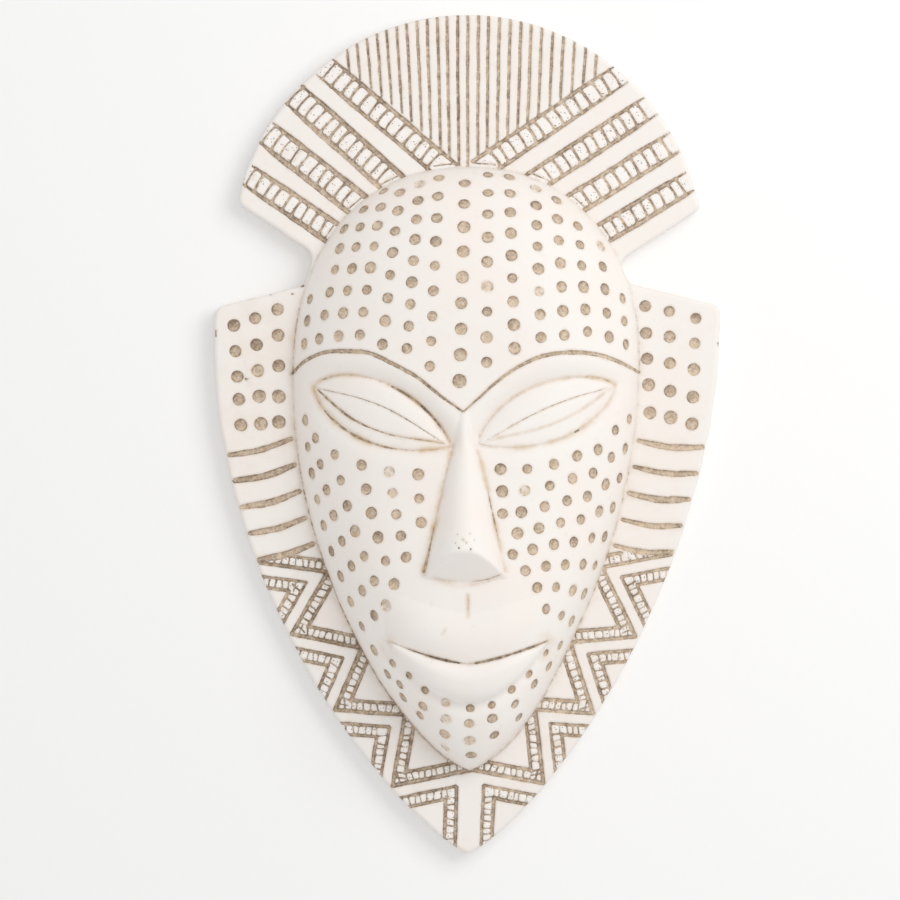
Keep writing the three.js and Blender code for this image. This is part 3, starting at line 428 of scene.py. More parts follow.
def eye_height(side, x, y, to_edge):
    """A closed bulge in a hollow, deep under the brow and shallow over the cheek. The bulge is
    (1 - (d/reach)^2.4)^0.55 over its edge; the ball shows as a low step between lid and rim."""
    outer, along, up = eye_axes(side)
    s = ((x - outer[0]) * along[0] + (y - outer[1]) * along[1]) / EYE_LENGTH
    d = (x - outer[0]) * up[0] + (y - outer[1]) * up[1]
    upper = smooth(-4, 4, d)
    share = np.clip(s, 0, 1)
    edge = SOCKET_BOTTOM + (SOCKET_TOP * (0.55 + 0.55 * share) - SOCKET_BOTTOM) * upper
    reach = np.where(d > 0, EYE_LINES["top"](side, s), -EYE_LINES["bottom"](side, s))
    inside = (s > 0) & (s < 1) & (np.abs(d) < reach)
    taper = np.clip(4 * share * (1 - share), 0, 1) ** 0.35
    part = np.clip(np.abs(d) / np.maximum(reach, 0.01), 0, 1)
    bulge = (edge - 0.9) * (1 - part ** 2.4) ** 0.55 * taper
    lid, rim = EYE_LINES["lid"](side, s), EYE_LINES["rim"](side, s)
    ball = smooth(-0.15, 0.5, lid - d) * smooth(-0.5, 0.15, d - rim)
    round_ball = 0.55 + 0.35 * np.clip(1 - ((d - rim) / np.maximum(lid - rim, 0.5) * 2 - 1) ** 2, 0, 1)
    near = np.clip(to_edge / SOCKET_REACH, 0, 1)
    outside = -edge * (1 - near) ** 2.3
    return np.where(inside, bulge - edge - (1.15 - round_ball) * ball * taper, outside)


def mouth_line(x):
    """The parting of the lips: lowest in the middle, rising to the corners with |x|^1.4."""
    return MOUTH_Y + MOUTH_LIFT * (np.abs(x) / MOUTH_HALF) ** 1.4


def lip_edge(x):
    """The lower edge of the lower lip, a parabola."""
    return LIP_EDGE_Y + LIP_EDGE_LIFT * (x / (MOUTH_HALF - 1)) ** 2


def lip_height(form, x, y):
    """The upper lip is half a sine wave above the mouth line; the lower one rises at once from the
    line and ends in a rounded edge over the chin, with a shallow valley below it."""
    taper = np.sqrt(np.clip(1 - (x / MOUTH_HALF) ** 2, 0, 1))
    line, edge = mouth_line(x), lip_edge(x)
    above = np.clip((y - line) / UPPER_LIP_HEIGHT, 0, 1)
    upper = form.upper_lip / MM * taper * np.sin(np.pi * above ** 0.8)
    below = np.clip((line - y) / np.maximum(line - edge, 0.01), 0, 1)
    swell = np.where(
        below < 0.5,
        np.sin(np.pi / 2 * below / 0.5) ** 0.7,
        np.sqrt(np.clip(1 - ((below - 0.5) / 0.5) ** 3, 0, 1)),
    )
    under = np.clip(edge - y, 0, None)
    dip = np.exp(-((under - VALLEY_DROP) / VALLEY_WIDTH) ** 2)
    valley = -VALLEY_DEPTH * taper * dip * smooth(0, 0.9, under)
    return np.where(y >= line, upper, form.lower_lip / MM * taper * swell + valley)


# Outline of the plate

def side_outline(side):
    """Outline down one side: the crest's circle, its corner, the notch, the wing's corner and the
    shield's curve, with each corner rounded by a short curve."""
    sign = side["sign"]
    flip = np.array([sign, 1])
    corner = np.array(side["crest_corner"]) * flip
    notch = [np.array(p) * flip for p in side["notch"]]
    wing = np.array(side["wing_corner"]) * flip
    turn = np.linspace(0, np.arctan2(abs(corner[0]), corner[1] - CREST_CENTRE_Y), 60)[:-2]
    arc = points_on(sign * CREST_RADIUS * np.sin(turn), CREST_CENTRE_Y + CREST_RADIUS * np.cos(turn))
    y = WING_TOP_Y - 2 - (WING_TOP_Y - 2 + MASK_HEIGHT / 2) * np.sin(np.linspace(0, np.pi / 2, 90))
    shield = points_on(midline(y) + sign * shield_half_width(y), y)
    start = np.array([midline(WING_TOP_Y) + sign * SHIELD_HALF, WING_TOP_Y])
    turns = [arc[-1], corner, notch[0], notch[1], wing, start]
    pieces = [arc]
    t = np.linspace(0, 1, 7)[:, None]
    for i, cut in enumerate((4, 4, 3, 4)):
        a, b, c = turns[i : i + 3]
        a = b + (a - b) / np.hypot(*(a - b)) * cut
        c = b + (c - b) / np.hypot(*(c - b)) * cut
        pieces.append((1 - t) ** 2 * a + 2 * t * (1 - t) * b + t ** 2 * c)
    return np.concatenate(pieces + [shield])


def plate_outline(spacing):
    """The whole outline, counter-clockwise, in even steps, a little uneven as a hand left it, but
    true at the crest's top and the tip."""
    left, right = side_outline(SIDES[1]), side_outline(SIDES[0])
    line = resample(np.concatenate([left, right[::-1]]), spacing)[:-1]
    x, y = line.T
    wave = patches(x, y, 9, 3) * 0.18 + patches(x, y, 3, 4) * 0.07
    share = smooth(MASK_HEIGHT / 2, MASK_HEIGHT / 2 - 12, np.abs(y))
    return line + inwards(line) * (0.2 + wave)[:, None] * share[:, None]


# Strokes: every carved or painted line

def stroke(line, half, depth, tone=0.5, cover=1.0, spacing=1.3, across=False):
    """A stroke is a line of points with a half width at each point, a depth, a tone from pale to dark
    and the share of it that the wash covers. One that runs across a band is marked so."""
    line = np.asarray(line, float)
    half = np.interp(np.linspace(0, 1, len(line)), np.linspace(0, 1, np.size(half)), np.ravel(half))
    return {"line": line, "half": half, "depth": depth, "tone": tone, "cover": cover, "spacing": spacing,
            "across": across}


def beside(line, distance):
    """A line moved sideways, with its corners kept sharp."""
    line = np.asarray(line, float)
    step = np.diff(line, axis=0)
    step /= np.hypot(*step.T)[:, None]
    back, ahead = np.concatenate([step[:1], step]), np.concatenate([step, step[-1:]])
    along = back + ahead
    along /= np.hypot(*along.T)[:, None]
    across = np.stack([-along[:, 1], along[:, 0]], 1)
    return line + across * (distance / (along * ahead).sum(1))[:, None]


def rungs(rng, a, b, low, high, pitch, half, depth, bow, start, tilt, uneven, flare=1.1, tone=0.5):
    """Short strokes across a band beside the line from a to b, between the distances low and high,
    at an uneven pitch, each a little tilted and bowed."""
    a, b = np.asarray(a, float), np.asarray(b, float)
    length = np.hypot(*(b - a))
    along = (b - a) / length
    across = np.array([-along[1], along[0]])
    count = max(int(round((length - start) / pitch)), 1)
    made = []
    for i in range(count):
        at = start + (i + rng.uniform(-0.5, 0.5) * uneven) * (length - start) / count
        t = np.linspace(0, 1, 5)
        lean = rng.uniform(-tilt, tilt) * (high - low)
        sag = bow * rng.uniform(0.3, 1.3)
        run = at + lean * (t - 0.5) + sag * 4 * t * (1 - t)
        line = a + np.outer(run, along) + np.outer(low + (high - low) * t, across)
        width = half * rng.uniform(1 - uneven, 1 + uneven)
        widths = (width * flare, width * 0.95, width * 0.9, width * 0.95, width * flare)
        deep, shade = depth * rng.uniform(0.8, 1.1), tone + rng.uniform(-0.2, 0.2)
        made.append(stroke(line, widths, deep, shade, 1.0, 0.8, True))
    return made


def crest_bands(side):
    """Each ladder band's middle line from the crest's rim down its slope to the dome's foot, with its
    direction, the distances of its rails, their half width and where its first rung stands."""
    radius = CREST_RADIUS - 2.6
    bands = []
    for degrees, slope, low, high, half, first in side["bands"]:
        turn, fall = math.radians(degrees), math.radians(slope)
        outer = np.array([side["sign"] * radius * math.sin(turn), CREST_CENTRE_Y + radius * math.cos(turn)])
        along = np.array([-side["sign"] * math.cos(fall), -math.sin(fall)])
        reach = np.arange(0, 120, 0.25)
        path = outer + np.outer(reach, along)
        inner = path[np.argmax(dome_ratio(path[:, 0], path[:, 1]) < 1.004)]
        bands.append((outer, inner, along, low, high, half, first))
    return bands


def beside_foot(at, out):
    """A short line beside the dome's foot, the given distance out from it, across a crest band."""
    turn = math.atan2(at[1] - CHEEK_Y, at[0]) + np.linspace(-0.05, 0.05, 5)
    reach = math.hypot(at[0], at[1] - CHEEK_Y) + np.linspace(-6, 6, 121)
    points = []
    for angle in turn:
        x, y = reach * math.cos(angle), CHEEK_Y + reach * math.sin(angle)
        edge = reach[np.argmax(dome_ratio(x, y) > 1)] + out
        points.append((edge * math.cos(angle), CHEEK_Y + edge * math.sin(angle)))
    return points


def crest_strokes(form, rng):
    """Ladder bands on both sides of the crest, and flutes standing between the upper two, with a pitch
    that grows a little from left to right."""
    depth = form.groove_depth / MM
    made, tops = [], []
    for side in SIDES:
        for number, (outer, inner, along, low, high, half, first) in enumerate(crest_bands(side)):
            across = np.array([-along[1], along[0]])
            for shift in (low, high):
                ends = np.array([outer - along * 2, inner + along * 3]) + across * shift
                widths = half * rng.uniform(0.85, 1.12, 9) * np.array([0.35, 0.8, 1, 1, 1, 1, 1, 1, 1])
                made.append(stroke(resample(ends, LINE_STEP), widths, depth, rng.uniform(0.4, 0.65)))
            made += rungs(rng, outer, inner, low, high, CREST_RUNG_PITCH, side["rung_half"], depth * 0.7,
                          -0.5, first, 0.07, 0.2, 1.35, 0.35)
            if number == 0:
                tops.append((outer + across * (low if side["sign"] > 0 else high), along))
            made.append(stroke(beside_foot(inner, 1.4), 0.35, depth * 0.5, 0.4, 0.9, 0.8, True))
    for i in range(FLUTES):
        x = FLUTE_X + FLUTE_PITCH * i + FLUTE_GROWTH * i ** 2 + rng.uniform(-0.15, 0.15)
        top = CREST_CENTRE_Y + math.sqrt((CREST_RADIUS - 0.4) ** 2 - x * x)
        outer, along = tops[1] if x < 0 else tops[0]
        bottom = outer[1] + along[1] / along[0] * (x - outer[0]) + 0.3
        if top - bottom < FLUTE_SHORTEST:
            continue
        foot = x - (0.0022 if x < 0 else 0.0013) * x * (top - bottom)
        width = 0.54 + 0.12 * smooth(-50, 0, x) - 0.04 * smooth(20, 50, x)
        line = points_on(np.linspace(x, foot, 6) + rng.uniform(-0.08, 0.08, 6), np.linspace(top, bottom, 6))
        made.append(stroke(line, (width, width * 1.05, width * 0.9), depth, rng.uniform(0.25, 0.6)))
    return made


def near_edge(side, y):
    """The point at a height near the shield's edge, where the carved lines end."""
    return np.array([midline(y) + side["sign"] * (shield_half_width(y) - LINE_MARGIN), y])


def zigzag_line(side):
    """Corners of one side's zigzag, in turn near the plate's edge and on the dome's foot."""
    points = []
    for outer, inner in zip(side["outer_zigzag"], side["inner_zigzag"]):
        points += [near_edge(side, outer), foot_line(side["sign"], inner, 0)]
    return np.array(points, float)


def wing_groove(side, number):
    """One of the wing's grooves, a shallow curve from the dome's foot out to the plate's edge."""
    first_y, rise, sag, _ = side["wing_line"]
    y = first_y - number * WING_PITCH
    inner = np.array([midline(y) + side["sign"] * (foot_half_width(y) + 2.2), y])
    outer = near_edge(side, y + rise)
    return curve([inner, (inner + outer) / 2 - [0, sag], outer], 14)


def crossing(a, b, c, d):
    """Where the line through a and b crosses the line through c and d."""
    ab, cd, ac = b - a, d - c, c - a
    return a + ab * (ac[0] * cd[1] - ac[1] * cd[0]) / (ab[0] * cd[1] - ab[1] * cd[0])


def ended_below(row, groove):
    """A row of rungs, cut off where they would run on over a groove above them."""
    x, y = groove[np.argsort(groove[:, 0])].T
    for rung in row:
        rung["line"][:, 1] = np.minimum(rung["line"][:, 1], np.interp(rung["line"][:, 0], x, y))
    return row


def shield_strokes(form, rng):
    """The zigzag ribbon of each side, the chevron ribbons outside it, and the wing's grooves. A ribbon
    is two rails with uneven rungs that leave a row of beads between them."""
    depth = form.groove_depth / MM

    def rail(ends, thinnest, thickest):
        """One side of a ribbon, of a width between two values."""
        width = rng.uniform(thinnest, thickest)
        return stroke(resample(ends, LINE_STEP), width, depth, rng.uniform(0.35, 0.65))

    def row(a, b, width, first):
        """Rungs from the line a b to a line beside it."""
        size = (RIBBON_RUNG_PITCH, RIBBON_RUNG_HALF, depth * 0.8)
        return rungs(rng, a, b, 0, width, *size, 0.1, first, 0.25, 0.4)

    made = []
    for side in SIDES:
        inward = -side["sign"]
        corners = zigzag_line(side)
        inner = beside(corners, inward * ZIGZAG_WIDTH)
        last = wing_groove(side, WING_GROOVES - 1)
        inner[0] = crossing(inner[0], inner[1], last[len(last) // 2], last[-1])
        for number in range(WING_GROOVES):
            width = side["wing_line"][3] * rng.uniform(1.0, 1.2)
            widths = width * np.array([0.75, 0.95, 1.05, 1.05, 1.0, 0.75])
            made.append(stroke(wing_groove(side, number), widths, depth, rng.uniform(0.3, 0.6)))
        for i in range(len(corners) - 1):
            made += [rail(corners[i : i + 2], 0.85, 1.0), rail(inner[i : i + 2], 0.72, 0.85)]
            if i % 2 == 0:
                beads = row(corners[i], corners[i + 1], ZIGZAG_WIDTH * inward, 3.4)
            else:
                beads = row(corners[i + 1], corners[i], -ZIGZAG_WIDTH * inward, 3.4)
            made += beads if i > 0 else ended_below(beads, last)
        tip = np.array([midline(-MASK_HEIGHT / 2), -MASK_HEIGHT / 2])
        for i in range(1, len(corners), 2):
            following = corners[i + 1] if i + 1 < len(corners) else tip
            bend = np.array([corners[i - 1], corners[i], following])
            first = beside(bend, -inward * CHEVRON_GAP)
            second = beside(bend, -inward * (CHEVRON_GAP + ZIGZAG_WIDTH))
            for line in (first, second):
                made += [rail(line[:2], 0.65, 0.8), rail(line[1:], 0.65, 0.8)]
            made += row(first[1], first[0], inward * ZIGZAG_WIDTH, 4.6)
            made += row(first[1], first[2], -inward * ZIGZAG_WIDTH, 4.6)
    return made


def brow_line(side):
    """The brow's groove, from the V between the eyes out to the dome's side."""
    return curve([BROW_V] + [(side["sign"] * x, y) for x, y in side["brow"]], 70)


def under_nose(x, rise):
    """The crease under the nose at x, lowest in the middle, by a parabola that rises so much at 15."""
    return NOSE_BASE_Y + rise * ((x - NOSE_X) / 15) ** 2


def face_strokes():
    """Brow grooves, the lines round and across the closed eyes, the nose's foot, the crease under it,
    the parting of the lips and the line along the dome's foot."""
    made = []
    for side in SIDES:
        sign = side["sign"]
        made.append(stroke(brow_line(side), (0.4, 0.55, 0.75, 0.9, 0.95, 0.85, 0.6), 0.9, 0.38))
        for name, start, end, width, tone, cover in side["eye_strokes"]:
            widths = width * np.array([0.45, 0.9, 1.0, 1.1, 1.0, 0.8, 0.4])
            made.append(stroke(eye_line(side, name, start, end), widths, 0.35, tone, cover))
        y = np.linspace(-4, -57, 40)
        foot = points_on(NOSE_X + sign * (nose_foot(y) + 0.5), y)
        made.append(stroke(foot, (0.12, 0.2, 0.2, 0.2, 0.1), 0.25, 0.05, 0.5))
        first, last, widths = side["nose_dark"]
        made.append(stroke(foot[first:last], widths, 0.3, 0.35, 0.93))
        y = foot_heights(np.linspace(0.0, 0.985, 150), 0.36)
        line = foot_line(sign, y, 0.25)
        wing_cover, low_cover = side["foot_cover"]
        for top, low, half, tone, cover in (
            (np.inf, 52, 0.18, -0.1, 0.25), (54, 24, 0.3, 0.15, wing_cover), (26, -10, 0.25, 0.0, 0.4),
            (-8, -50, 0.35, 0.05, wing_cover), (-48, -np.inf, 0.34, 0.3, low_cover),
        ):
            made.append(stroke(line[(y < top) & (y > low)], half, 0.15, tone, cover))
    for half, cover in ((12.5, 0.85), (9, 0.5)):
        x = np.linspace(NOSE_X + half * 0.25, NOSE_X + half * 1.2, 16)
        y = under_nose(x, 3.2) - (12.5 - half) * 0.3
        made.append(stroke(points_on(x, y), (0.15, 0.3, 0.15), 0.1, 0.2, cover))
    x = np.linspace(NOSE_X - 12, NOSE_X - 4, 10)
    made.append(stroke(points_on(x, under_nose(x, 2)), (0.15, 0.25, 0.15), 0.1, 0.1, 0.4))
    groove = [(-0.1, -67.0), (0.1, -70), (-0.1, -72.5), (0.3, -75.2)]
    made.append(stroke(groove, (0.12, 0.3, 0.26, 0.1), 0.3, 0.3, 0.6))
    made.append(stroke([(-9.2, -80.5), (-10, -82), (-10.8, -83)], (0.12, 0.25, 0.1), 0.15, 0.1, 0.5))
    for x, y, size in PINHOLES:
        made.append(stroke([(x, y), (x + 0.1, y - 0.25)], size, 0.4, 1.1, 1.0))
    for start, end, widths in (
        (-33.5, -3.5, (0.08, 0.12, 0.3, 0.5, 0.6, 0.45)), (3.2, 33, (0.5, 0.6, 0.5, 0.5, 0.3)),
    ):
        x = np.linspace(start, end, 30)
        made.append(stroke(points_on(x, mouth_line(x)), widths, 1.1, 0.6, 0.98))
    x = np.linspace(-4, 4, 8)
    made.append(stroke(points_on(x, mouth_line(x) - 0.1 + 0.25 * np.sin(x * 2.3)), 0.3, 0.8, 0.3, 0.35))
    return made


def face_stains():
    """Thin ochre stains as (line, width, amount): round the eyes and brows, beside and under the nose,
    at the corners of the mouth, along the foot of the dome and over the wings."""
    made = []
    for side in SIDES:
        sign, share = side["sign"], side["eye_stain"]
        made.append((eye_line(side, "top"), 1.1, 0.35 * share))
        made.append((eye_line(side, "bottom"), 1.6, 0.5 * share))
        made.append((eye_line(side, "rim", 0.1, 0.95), 0.9, 0.45 * share))
        made.append((eye_line(side, "top", *side["corner_stain"]), 0.9, 0.7))
        made.append((eye_line(side, "bottom", 0.3, 0.85), 1.4, 0.7 * share))
        made.append((brow_line(side), 1.1, 0.25))
        y = np.linspace(-8, -57, 12)
        made.append((points_on(NOSE_X + sign * (nose_foot(y) + 0.7), y), 1.3, side["nose_stain"]))
        for top, end in ((46, -50), (-50, -138)):
            made.append((foot_line(sign, np.linspace(top, end, 40), 1.1), 0.9, 0.42 * side["foot_stain"]))
        made.append((np.array([(sign * 32, -84.5), (sign * 35, -87), (sign * 32, -92)]), 2.5, 0.3))
        made += [(wing_groove(side, number), 1.8, 0.35) for number in range(WING_GROOVES)]
    made.append((np.array([(-88, 48), (-91, 20), (-93, -8)]), 13, 0.12))
    x = np.linspace(-14, 12, 8)
    made.append((points_on(x, under_nose(x, 3) - 1), 1.4, 0.4))
    made.append((np.array([(0, -67), (0, -76)]), 0.9, 0.5))
    return made


# Dots

def face_dots(form):
    """Centres and sizes of the dots on the face: columns up the forehead, whose pitch is measured
    along the dome's surface, columns down the cheeks beside the footprint's edge, and rows round the
    chin."""
    dots = []
    for side in SIDES:
        for foot_x, foot_y, pitch, lean, count in side["forehead"]:
            y = foot_y
            for _ in range(count):
                x = foot_x + lean * (y - foot_y)
                dots.append((x, y, 1.14 if abs(x + 3.2) < 1.5 else 1))
                y += pitch / math.hypot(1, dome_height(form, x, y + 0.5) - dome_height(form, x, y - 0.5))
        for offset, start_y, pitch, drift, count in side["cheek"]:
            y = start_y
            for _ in range(count):
                inset = offset + drift * (y - start_y)
                dots.append((face_middle(y) + side["sign"] * (foot_half_width(y) - inset), y, 1))
                y -= pitch / math.hypot(1, foot_half_width(y + 0.5) - foot_half_width(y - 0.5))
    for low_y, low_x, rise, first, pitch, count in CHIN_ROWS:
        for i in range(count):
            x = first + i * pitch
            dots.append((x, low_y + rise * ((x - low_x) / 30) ** 2, 1))
    return np.array(dots + list(LIP_DOTS), float)


def wing_dots():
    """Centres of the dots on the wings: three leaning columns of five each side. Gives x, y and the
    size beside a plain dot's, which grows down the wing."""
    dots = []
    for side in SIDES:
        high, low = side["wing_dot_size"]
        for x, lean, heights in side["wing_dots"]:
            for y in heights:
                dots.append((side["sign"] * (x + lean * (y - 28)), y, np.interp(y, (5, 50), (low, high))))
    return np.array(dots, float)


class Layers:
    """The mask seen from above on a square grid of cells. Each layer is an array over the grid."""

    def __init__(self):
        half = MASK_HEIGHT / 2 + 2
        self.xs = np.arange(-109, 109 + RASTER, RASTER)
        self.ys = np.arange(-half, half + RASTER, RASTER)
        self.x, self.y = np.meshgrid(self.xs, self.ys)
        self.wx = self.x + 0.14 * patches(self.x, self.y, 13, 11) + 0.05 * patches(self.x, self.y, 2.6, 12)
        self.wy = self.y + 0.14 * patches(self.x, self.y, 12, 13) + 0.05 * patches(self.x, self.y, 2.4, 14)
        self.uneven = 1 + 0.1 * patches(self.x, self.y, 4, 15) + 0.07 * patches(self.x, self.y, 1.4, 16)
        self.edge = np.full(self.x.shape, FAR)
        self.rungs = np.full(self.x.shape, FAR)
        self.beads = np.zeros(self.x.shape)
        self.stain = np.zeros(self.x.shape)
        self.tone = np.full(self.x.shape, 0.5)
        self.cover = np.ones(self.x.shape)
        self.cut = np.zeros(self.x.shape)

    def window(self, low, high, margin):
        """The cells within a margin of a box."""
        i = np.clip(np.searchsorted(self.xs, [low[0] - margin, high[0] + margin]), 0, len(self.xs))
        j = np.clip(np.searchsorted(self.ys, [low[1] - margin, high[1] + margin]), 0, len(self.ys))
        return np.s_[j[0] : j[1], i[0] : i[1]]

    def near_piece(self, x, y, a, b, margin):
        """The cells within a margin of the straight piece from a to b, how far along it they lie, as a
        share that runs past its ends, and their distance to it. x and y are the cells' places."""
        cells = self.window(np.minimum(a, b), np.maximum(a, b), margin)
        px, py = x[cells] - a[0], y[cells] - a[1]
        along = b - a
        share = (px * along[0] + py * along[1]) / max(along @ along, 1e-9)
        held = np.clip(share, 0, 1)
        return cells, share, np.hypot(px - along[0] * held, py - along[1] * held)

    def mark(self, cells, edge, cut, tone, cover, across=False):
        """Keeps the nearest edge, with its tone and cover, and the deepest cut. The edges of strokes
        that run across a band are kept apart, to be joined by round_corners."""
        nearest = np.minimum(self.edge[cells], self.rungs[cells]) if across else self.edge[cells]
        nearer = edge < nearest
        self.tone[cells] = np.where(nearer, tone, self.tone[cells])
        self.cover[cells] = np.where(nearer, cover, self.cover[cells])
        kept = self.rungs if across else self.edge
        kept[cells] = np.minimum(kept[cells], edge)
        self.cut[cells] = np.maximum(self.cut[cells], cut)

    def add_stroke(self, made):
        """Each straight piece of the stroke marks the cells near it: the distance to the piece less
        its half width, and a round-bottomed cut. Beads lie beside the strokes across a band."""
        line, half = made["line"], made["half"]
        for a, b, ha, hb in zip(line[:-1], line[1:], half[:-1], half[1:]):
            cells, share, gap = self.near_piece(self.wx, self.wy, a, b, 4.0)
            held = np.clip(share, 0, 1)
            wide = (ha + (hb - ha) * held) * self.uneven[cells]
            edge = gap - wide
            cut = made["depth"] * (1 - smooth(-0.75, 0.22, edge / np.maximum(wide, 0.3)))
            self.mark(cells, edge, cut, made["tone"], made["cover"], made["across"])
            if made["across"]:
                bead = (share == held) * (1 - smooth(1.5, 2.7, edge))
                self.beads[cells] = np.maximum(self.beads[cells], bead)

    def round_corners(self, size, depth):
        """Joins lines and rungs, with the corners between them filled to a round of about the size."""
        share = np.clip(0.5 + 0.5 * (self.rungs - self.edge) / size, 0, 1)
        self.edge = self.rungs * (1 - share) + self.edge * share - size * share * (1 - share)
        self.cut = np.maximum(self.cut, depth * (1 - smooth(-0.35, 0.15, self.edge)))

    def add_stain(self, line, width, amount):
        """A soft stain beside a line: the amount times exp(-(distance / width)^2)."""
        line = resample(line, 1.5)
        for a, b in zip(line[:-1], line[1:]):
            cells, _, gap = self.near_piece(self.x, self.y, a, b, 2.2 * width)
            self.stain[cells] = np.maximum(self.stain[cells], amount * np.exp(-((gap / width) ** 2)))

    def add_dot(self, x, y, slope, radius, depth, tone, cover):
        """A shallow pit sunk square to the surface: distances are measured along the sloping skin.
        Its wash is darker towards the upper left, as painted shade on that wall of the pit.
        """
        cells = self.window((x, y), (x, y), 4.5)
        px, py = self.wx[cells] - x, self.wy[cells] - y
        gap = np.sqrt(px ** 2 + py ** 2 + (px * slope[0] + py * slope[1]) ** 2)
        edge = gap - radius * (1 + 0.35 * (self.uneven[cells] - 1))
        steep = min(math.hypot(1, *slope), 1.8)
        cut = depth * steep * (1 - smooth(-1.25, 0.2, edge))
        # Painted shade: the wash grows darker towards the dot's upper left wall.
        tone_with_painted_shade = tone + 0.22 * (py - px) / radius
        self.mark(cells, edge / math.sqrt(steep), cut, tone_with_painted_shade, cover)

    def read(self, layer, points):
        """A layer's value at points, blended between the four cells round each."""
        u = (points[:, 0] - self.xs[0]) / RASTER
        v = (points[:, 1] - self.ys[0]) / RASTER
        i = np.clip(u.astype(int), 0, len(self.xs) - 2)
        j = np.clip(v.astype(int), 0, len(self.ys) - 2)
        fu, fv = np.clip(u - i, 0, 1), np.clip(v - j, 0, 1)
        low = layer[j, i] * (1 - fu) + layer[j, i + 1] * fu
        high = layer[j + 1, i] * (1 - fu) + layer[j + 1, i + 1] * fu
        return low * (1 - fv) + high * fv


def distance_layer(layers, lines, limit):
    """Distance of each cell to the nearest of some lines, up to a limit."""
    distance = np.full(layers.x.shape, float(limit))
    for line in lines:
        for a, b in zip(line[:-1], line[1:]):
            cells, _, gap = layers.near_piece(layers.x, layers.y, a, b, limit)
            distance[cells] = np.minimum(distance[cells], gap)
    return distance


def bare_height(form, layers):
    """Height of the front before it is carved: the plate with its rounded rim, the dome, and on the
    dome the nose, the lips and the closed eyes."""
    x, y = layers.x, layers.y
    ratio = dome_ratio(x, y)
    rim = form.rim_radius / MM
    drop = rim - np.sqrt(np.clip(rim ** 2 - np.clip(rim - layers.rim, 0, rim) ** 2, 0, None))
    height = form.plate_thickness / MM - drop * (ratio > 1.01) + dome_height(form, x, y)
    features = nose_height(form, x, y) + lip_height(form, x, y)
    for side in SIDES:
        near = distance_layer(layers, [eye_line(side, "top"), eye_line(side, "bottom")], SOCKET_REACH)
        features = features + eye_height(side, x, y, near)
    return height + np.where(ratio < 1, features, 0)


def add_dots(form, layers, rng):
    """Sinks the dots of face and wings into the layers. Gives each dot's place, the slope of the dome
    there and its radius."""
    on_dome = face_dots(form)
    on_dome = on_dome[dome_ratio(*on_dome[:, :2].T) < 0.985]
    dots = []
    for x, y, size in np.concatenate([on_dome, wing_dots()]):
        on_wing = dome_ratio(x, y) > 1
        slope = (0.0, 0.0)
        if not on_wing:
            slope = (float(dome_height(form, x + 0.5, y) - dome_height(form, x - 0.5, y)),
                     float(dome_height(form, x, y + 0.5) - dome_height(form, x, y - 0.5)))
        radius = form.dot_radius / MM * rng.uniform(0.9, 1.1) ** (0.4 if on_wing else 1) * size
        if min(math.dist((x, y), pale) for pale in PALE_DOTS) < PALE_REACH:
            tone, cover, depth = rng.uniform(-0.25, -0.05), 0.8, form.dot_depth / MM * 0.7
        else:
            tone, cover, depth = rng.uniform(0.12, 0.5) + 0.2 * (on_wing and x < 0), 1, form.dot_depth / MM
        layers.add_dot(x, y, slope, radius, depth, tone, cover)
        dots.append((x, y, slope[0], slope[1], radius))
    return np.array(dots)


def softened(height):
    """Heights blended twice with those of the four cells round each, half and half."""
    soft = height.copy()
    for _ in range(2):
        beside_it = soft[1:-1, :-2] + soft[1:-1, 2:]
        soft[1:-1, 1:-1] = (soft[1:-1, 1:-1] * 4 + soft[:-2, 1:-1] + soft[2:, 1:-1] + beside_it) / 8
    return soft


def build_relief(form, rng):
    """Height of the front over every cell: the bare form less the carving and the dots, with the small
    unevenness of a cast. Gives the layers, the outline, the strokes on the plate, those on the face,
    and the dots."""
    layers = Layers()
    outline = plate_outline(1.0)
    layers.rim = distance_layer(layers, [np.concatenate([outline, outline[:1]])], FAR)
    height = bare_height(form, layers)
    strokes, face = crest_strokes(form, rng) + shield_strokes(form, rng), face_strokes()
    strokes += [stroke((a, b), half, 0.3, 1.2, 0.95) for a, b, half in FLECKS]
    for made in strokes + face:
        made["tone"] -= 0.2 * smooth(-20, 30, made["line"][:, 0].mean())
    for made in strokes:
        layers.add_stroke(made)
    layers.round_corners(0.65, form.groove_depth / MM * 0.7)
    on_face = dome_ratio(layers.x, layers.y) < 1
    layers.beads[on_face] = 0
    layers.cut[on_face] = 0
    layers.edge[on_face] = FAR
    for made in face:
        layers.add_stroke(made)
    for line, width, amount in face_stains():
        layers.add_stain(line, width, amount)
    dots = add_dots(form, layers, rng)
    layers.cut *= smooth(0.05, 0.9, layers.rim)
    cast = 0.1 * patches(layers.x, layers.y, 14, 21) + 0.035 * patches(layers.x, layers.y, 4, 22)
    layers.height = softened(height - layers.cut + cast * smooth(0, 2, layers.rim))
    layers.slope_y, layers.slope_x = np.gradient(layers.height, RASTER)
    return layers, outline, strokes, face, dots


# The skin: points placed where the form turns

def rows_beside(made, offsets, spacing):
    """Rows of points along a stroke at some distances from its edge lines and on its middle."""
    line = resample(made["line"], spacing)
    run = np.linspace(0, 1, len(line))
    half = np.interp(run, np.linspace(0, 1, len(made["half"])), made["half"])
    step = np.gradient(line, axis=0)
    across = np.stack([-step[:, 1], step[:, 0]], 1) / np.maximum(np.hypot(*step.T), 1e-9)[:, None]
    rows = [line]
    for offset in offsets:
        reach = np.maximum(half + offset, 0.12)[:, None]
        rows += [line + across * reach, line - across * reach]
    return np.concatenate(rows)


